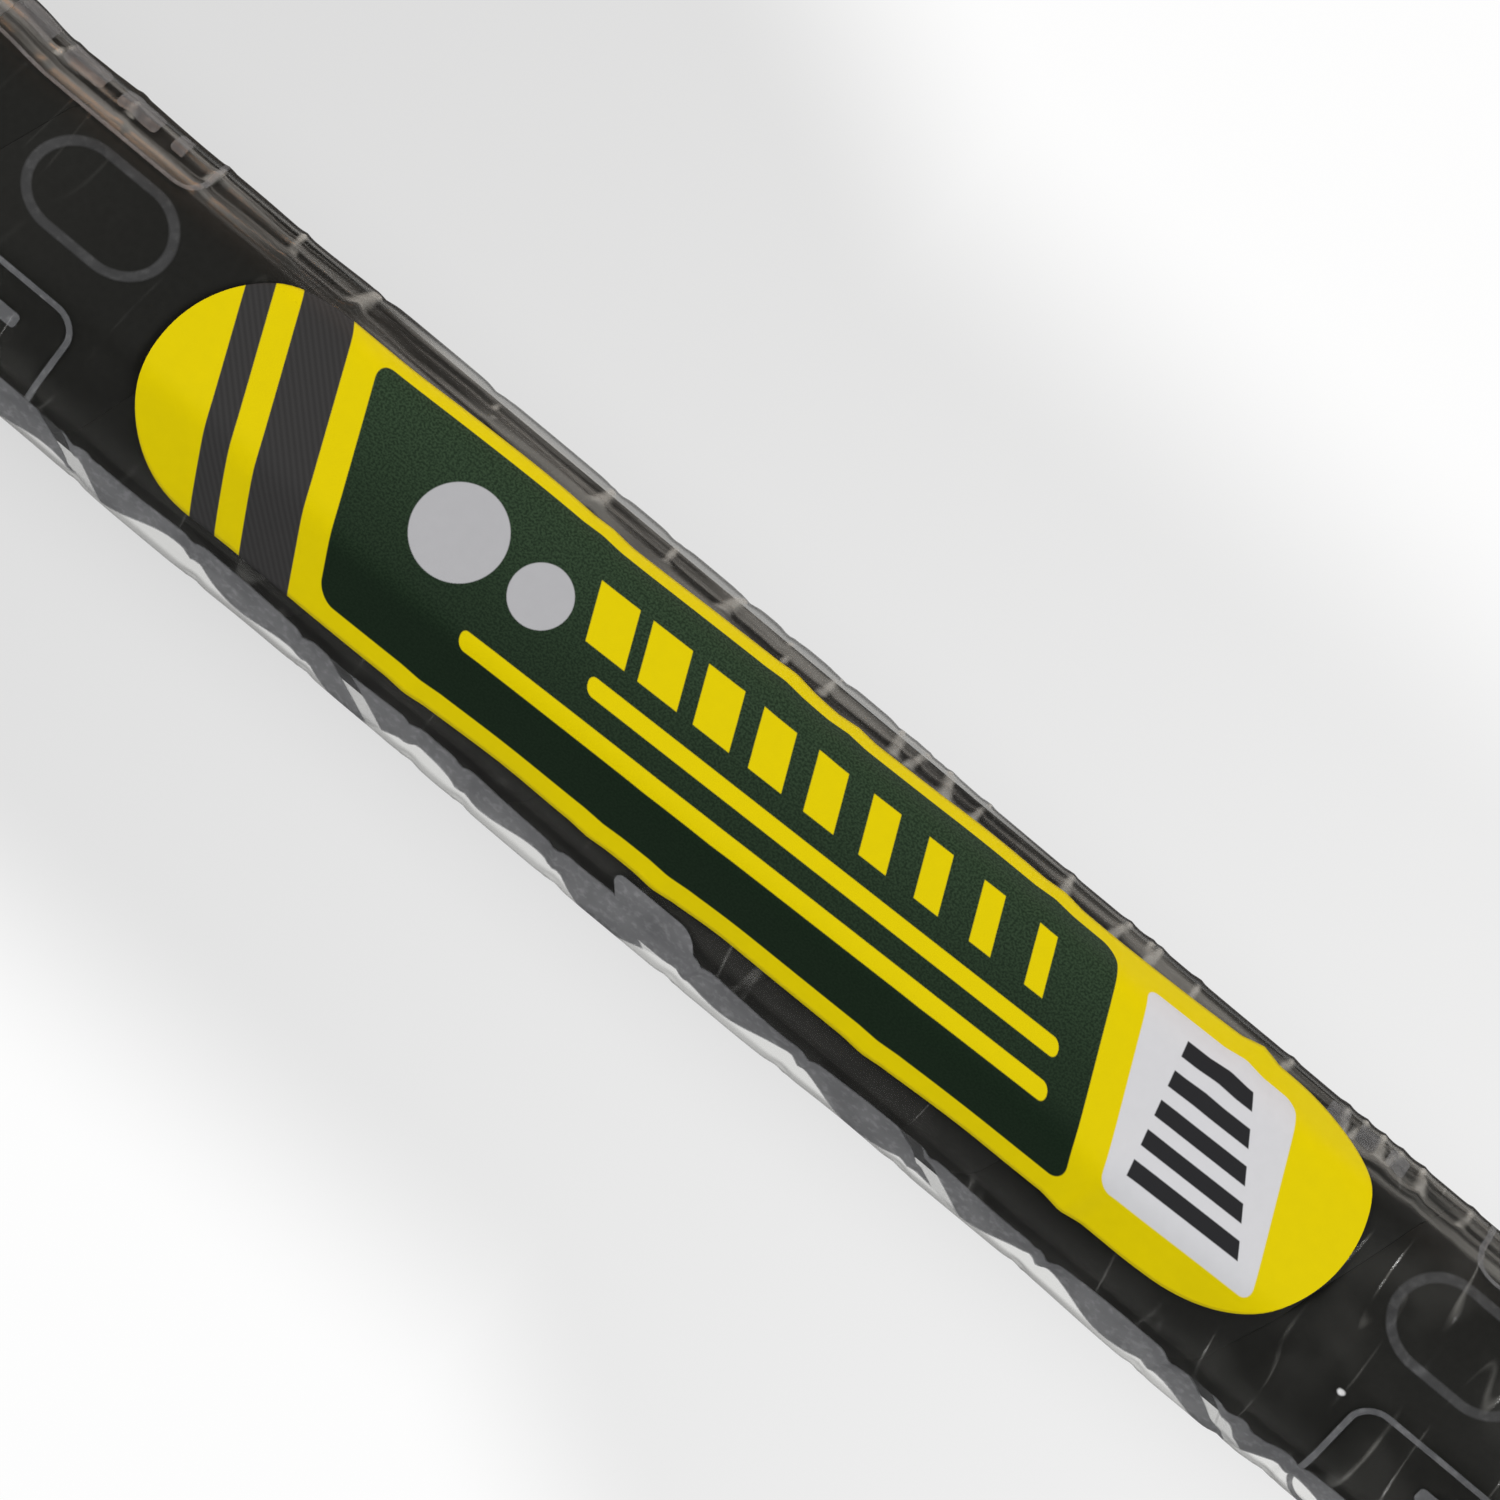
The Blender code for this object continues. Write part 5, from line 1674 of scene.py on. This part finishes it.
def printed_paper():
    """Coated paper: satin, with a faint unevenness in the ink."""
    material, tint, shader = new_finish("printed_paper")
    uv = tint.coordinates("UV")
    place = tint.coordinates("Object")
    fibre = tint.grain(place, PAPER_FIBRE, 3.0)
    sag = tint.grain(place, PAPER_SAG)
    shade = tint.blend(fibre * 0.06, label_print(tint, uv), BLACK)
    tint.fill(shader, {"Base Color": shade, "Roughness": 0.48 + 0.1 * fibre, "Specular IOR Level": 0.06,
                       "Normal": tint.relief(fibre * 0.05 + sag, PAPER_RELIEF)})
    return material


label_shape = bend_sheet(LABEL_ALONG, LABEL_AROUND, label_point, label_flat)
label = add_piece("label_paper", label_shape, printed_paper(), "label", "label")
thicken(label, "paper_wall", LABEL_THICKNESS, 1.0)

# Studio
# A pale floor with painted grey shade round the handle that whitens away from it, with soft lamps at both
# ends and low on the +Y side, a broad one and a small warm one on the -Y side, and a camera a little to the
# +Y side of straight above.

FLOOR_SIZE = 14.0
FLOOR_CLEARANCE = 0.0001
# The floor's tone is painted shade: grey round the handle, darker towards the head end, lifted beside the
# handle, and white away from it.
FLOOR_SHADE_GREY = 0.745
FLOOR_RISE = 1.02
FLOOR_LIMITS = (0.66, 0.86)
FLOOR_MATT = (0.80, 0.80, 0.80, 1.0)
UPPER_RISE = 0.040
UPPER_RISE_BAND = (0.012, 0.026)
LOWER_RISE = 0.055
LOWER_RISE_BAND = (0.002, 0.016)
UPPER_WHITE = (0.0429, 0.0710)
LOWER_WHITE = (0.0344, 0.0564)
UPPER_LEAN = 0.45
UPPER_LEAN_START = 0.017
LOWER_LEAN = 0.5
LOWER_LEAN_START = -0.0128
FLOOR_GLOW = 0.92
FAR_WHITE = (0.10, 0.30)
# A painted shadow under the handle, seen in mirrors only.
SHADE_CENTRE = 0.008
SHADE_HALF = 0.018
SHADE_FADE = 0.008
SHADE_DEPTH = 0.92
RAY_KINDS = ("Is Camera Ray", "Is Glossy Ray", "Is Transmission Ray")
HANDLE_MIDDLE = Vector((-0.2415, -0.0041, 0.0144))
CAMERA_ROLL = 14 * DEGREE
CAMERA_TURN = 39.86 * DEGREE
CAMERA_LENS = 200.0
CAMERA_SENSOR = 36.0
PICTURE_WIDTH = 0.123
SURFACE_LIFT = 0.0125
CAMERA_NEAR = 0.01
CAMERA_FAR = 50.0
SKY_GREY = (0.13, 0.13, 0.13, 1.0)
WARM_LIGHT = (1.0, 0.45, 0.14)


def floor_paper():
    """Pale paper: the camera and mirrors see a painted tone, greyed by painted shade round the handle and
    whitening away from it; mirrors also see a painted shadow under the handle, and the lit part keeps a
    trace of the object's shadow.
    """
    material, tint, shader = new_finish("floor_paper")
    place = tint.coordinates("Object")
    along = place.part("X") - HANDLE_MIDDLE.x
    across = place.part("Y")
    upper = 0.0 - across
    darkest, palest = FLOOR_LIMITS
    # Painted shade: grey near the handle, whitening away from it.
    painted_shade_tone = (FLOOR_SHADE_GREY - along * FLOOR_RISE).at_least(darkest).at_most(palest)
    painted_shade_tone = painted_shade_tone + UPPER_RISE * upper.step(*UPPER_RISE_BAND) + LOWER_RISE * across.step(*LOWER_RISE_BAND)
    upper_white = (upper - UPPER_LEAN * (along - UPPER_LEAN_START).at_least(0.0)).step(*UPPER_WHITE)
    lower_white = (across + LOWER_LEAN * (along - LOWER_LEAN_START).at_most(0.0)).step(*LOWER_WHITE)
    far_white = abs(along).step(*FAR_WHITE)
    level = painted_shade_tone + (1.0 - painted_shade_tone) * upper_white.at_least(lower_white).at_least(far_white)
    rays = tint.node("LightPath").socket.node.outputs
    by_camera, by_gloss, by_glass = [Tint(tint.tree, rays[name]) for name in RAY_KINDS]
    under_handle = 1.0 - abs(across - SHADE_CENTRE).step(SHADE_HALF, SHADE_HALF + SHADE_FADE)
    level = level * (1.0 - SHADE_DEPTH * under_handle * by_gloss)
    colour = tint.blend(level, BLACK, WHITE)
    glow = tint.node("Emission", None, {"Color": colour, "Strength": 1.0})
    seen = by_camera.at_least(by_gloss).at_least(by_glass)
    tint.fill(shader, {"Base Color": FLOOR_MATT, "Roughness": 0.9})
    lit = Tint(tint.tree, shader.outputs[0])
    whole = tint.cover(seen * FLOOR_GLOW, lit, glow)
    tint.fill(tint.tree.nodes["Material Output"], {"Surface": whole})
    material.cycles.emission_sampling = "NONE"
    return material


floor_shape = bmesh.new()
bmesh.ops.create_grid(floor_shape, x_segments=1, y_segments=1, size=FLOOR_SIZE / 2,
                      matrix=Matrix.Translation((0, 0, -FLOOR_CLEARANCE)))
floor_mesh = made_mesh("floor", floor_shape)
floor_mesh.materials.append(floor_paper())
floor = put_in_scene("floor", floor_mesh)


def add_lamp(name, place, width, height, watts, colour=(1.0, 1.0, 1.0)):
    """A soft panel that faces the handle."""
    lamp = bpy.data.lights.new(name, "AREA")
    lamp.shape = "RECTANGLE"
    lamp.size = width
    lamp.size_y = height
    lamp.energy = watts
    lamp.color = colour
    panel = put_in_scene(name, lamp)
    panel.location = place
    panel.rotation_euler = (HANDLE_MIDDLE - Vector(place)).to_track_quat("-Z", "Y").to_euler()
    panel.visible_camera = False


add_lamp("lamp_head_end", (0.75, -0.08, 1.05), 0.7, 0.7, 13.6)
add_lamp("lamp_butt_end", (-1.20, -0.08, 1.05), 0.7, 0.7, 12.4)
add_lamp("lamp_side", (-0.24, -1.6, 0.50), 2.4, 0.35, 3.0)
add_lamp("lamp_low_head", (1.00, 1.30, 0.14), 0.5, 0.25, 3)
add_lamp("lamp_low_butt", (-1.48, 1.30, 0.14), 0.5, 0.25, 3)
add_lamp("lamp_warm", (-0.10, -0.34, 0.07), 0.12, 0.10, 0.15, WARM_LIGHT)

world = bpy.data.worlds.new("studio")
world.use_nodes = True
bpy.context.scene.world = world
sky = Tint(world.node_tree)
camera_ray = sky.node("LightPath", None, None, "Is Camera Ray")
sky_colour = sky.blend(camera_ray, SKY_GREY, WHITE)
sky.fill(world.node_tree.nodes["Background"], {"Color": sky_colour, "Strength": 1.0})

back = Vector((0, math.sin(CAMERA_ROLL), math.cos(CAMERA_ROLL)))
lower_side = Vector((0, math.cos(CAMERA_ROLL), -math.sin(CAMERA_ROLL)))
head_way = Vector((1, 0, 0))
right = -math.cos(CAMERA_TURN) * head_way - math.sin(CAMERA_TURN) * lower_side
up = math.sin(CAMERA_TURN) * head_way - math.cos(CAMERA_TURN) * lower_side
camera_data = bpy.data.cameras.new("camera")
camera_data.lens = CAMERA_LENS
camera_data.sensor_width = CAMERA_SENSOR
camera_data.clip_start = CAMERA_NEAR
camera_data.clip_end = CAMERA_FAR
camera = put_in_scene("camera", camera_data)
stand_off = PICTURE_WIDTH * CAMERA_LENS / CAMERA_SENSOR + SURFACE_LIFT
camera.matrix_world = (Matrix.Translation(HANDLE_MIDDLE + back * stand_off)
                       @ Matrix((right, up, back)).transposed().to_4x4())
bpy.context.scene.camera = camera
bpy.context.scene.view_settings.view_transform = "Standard"
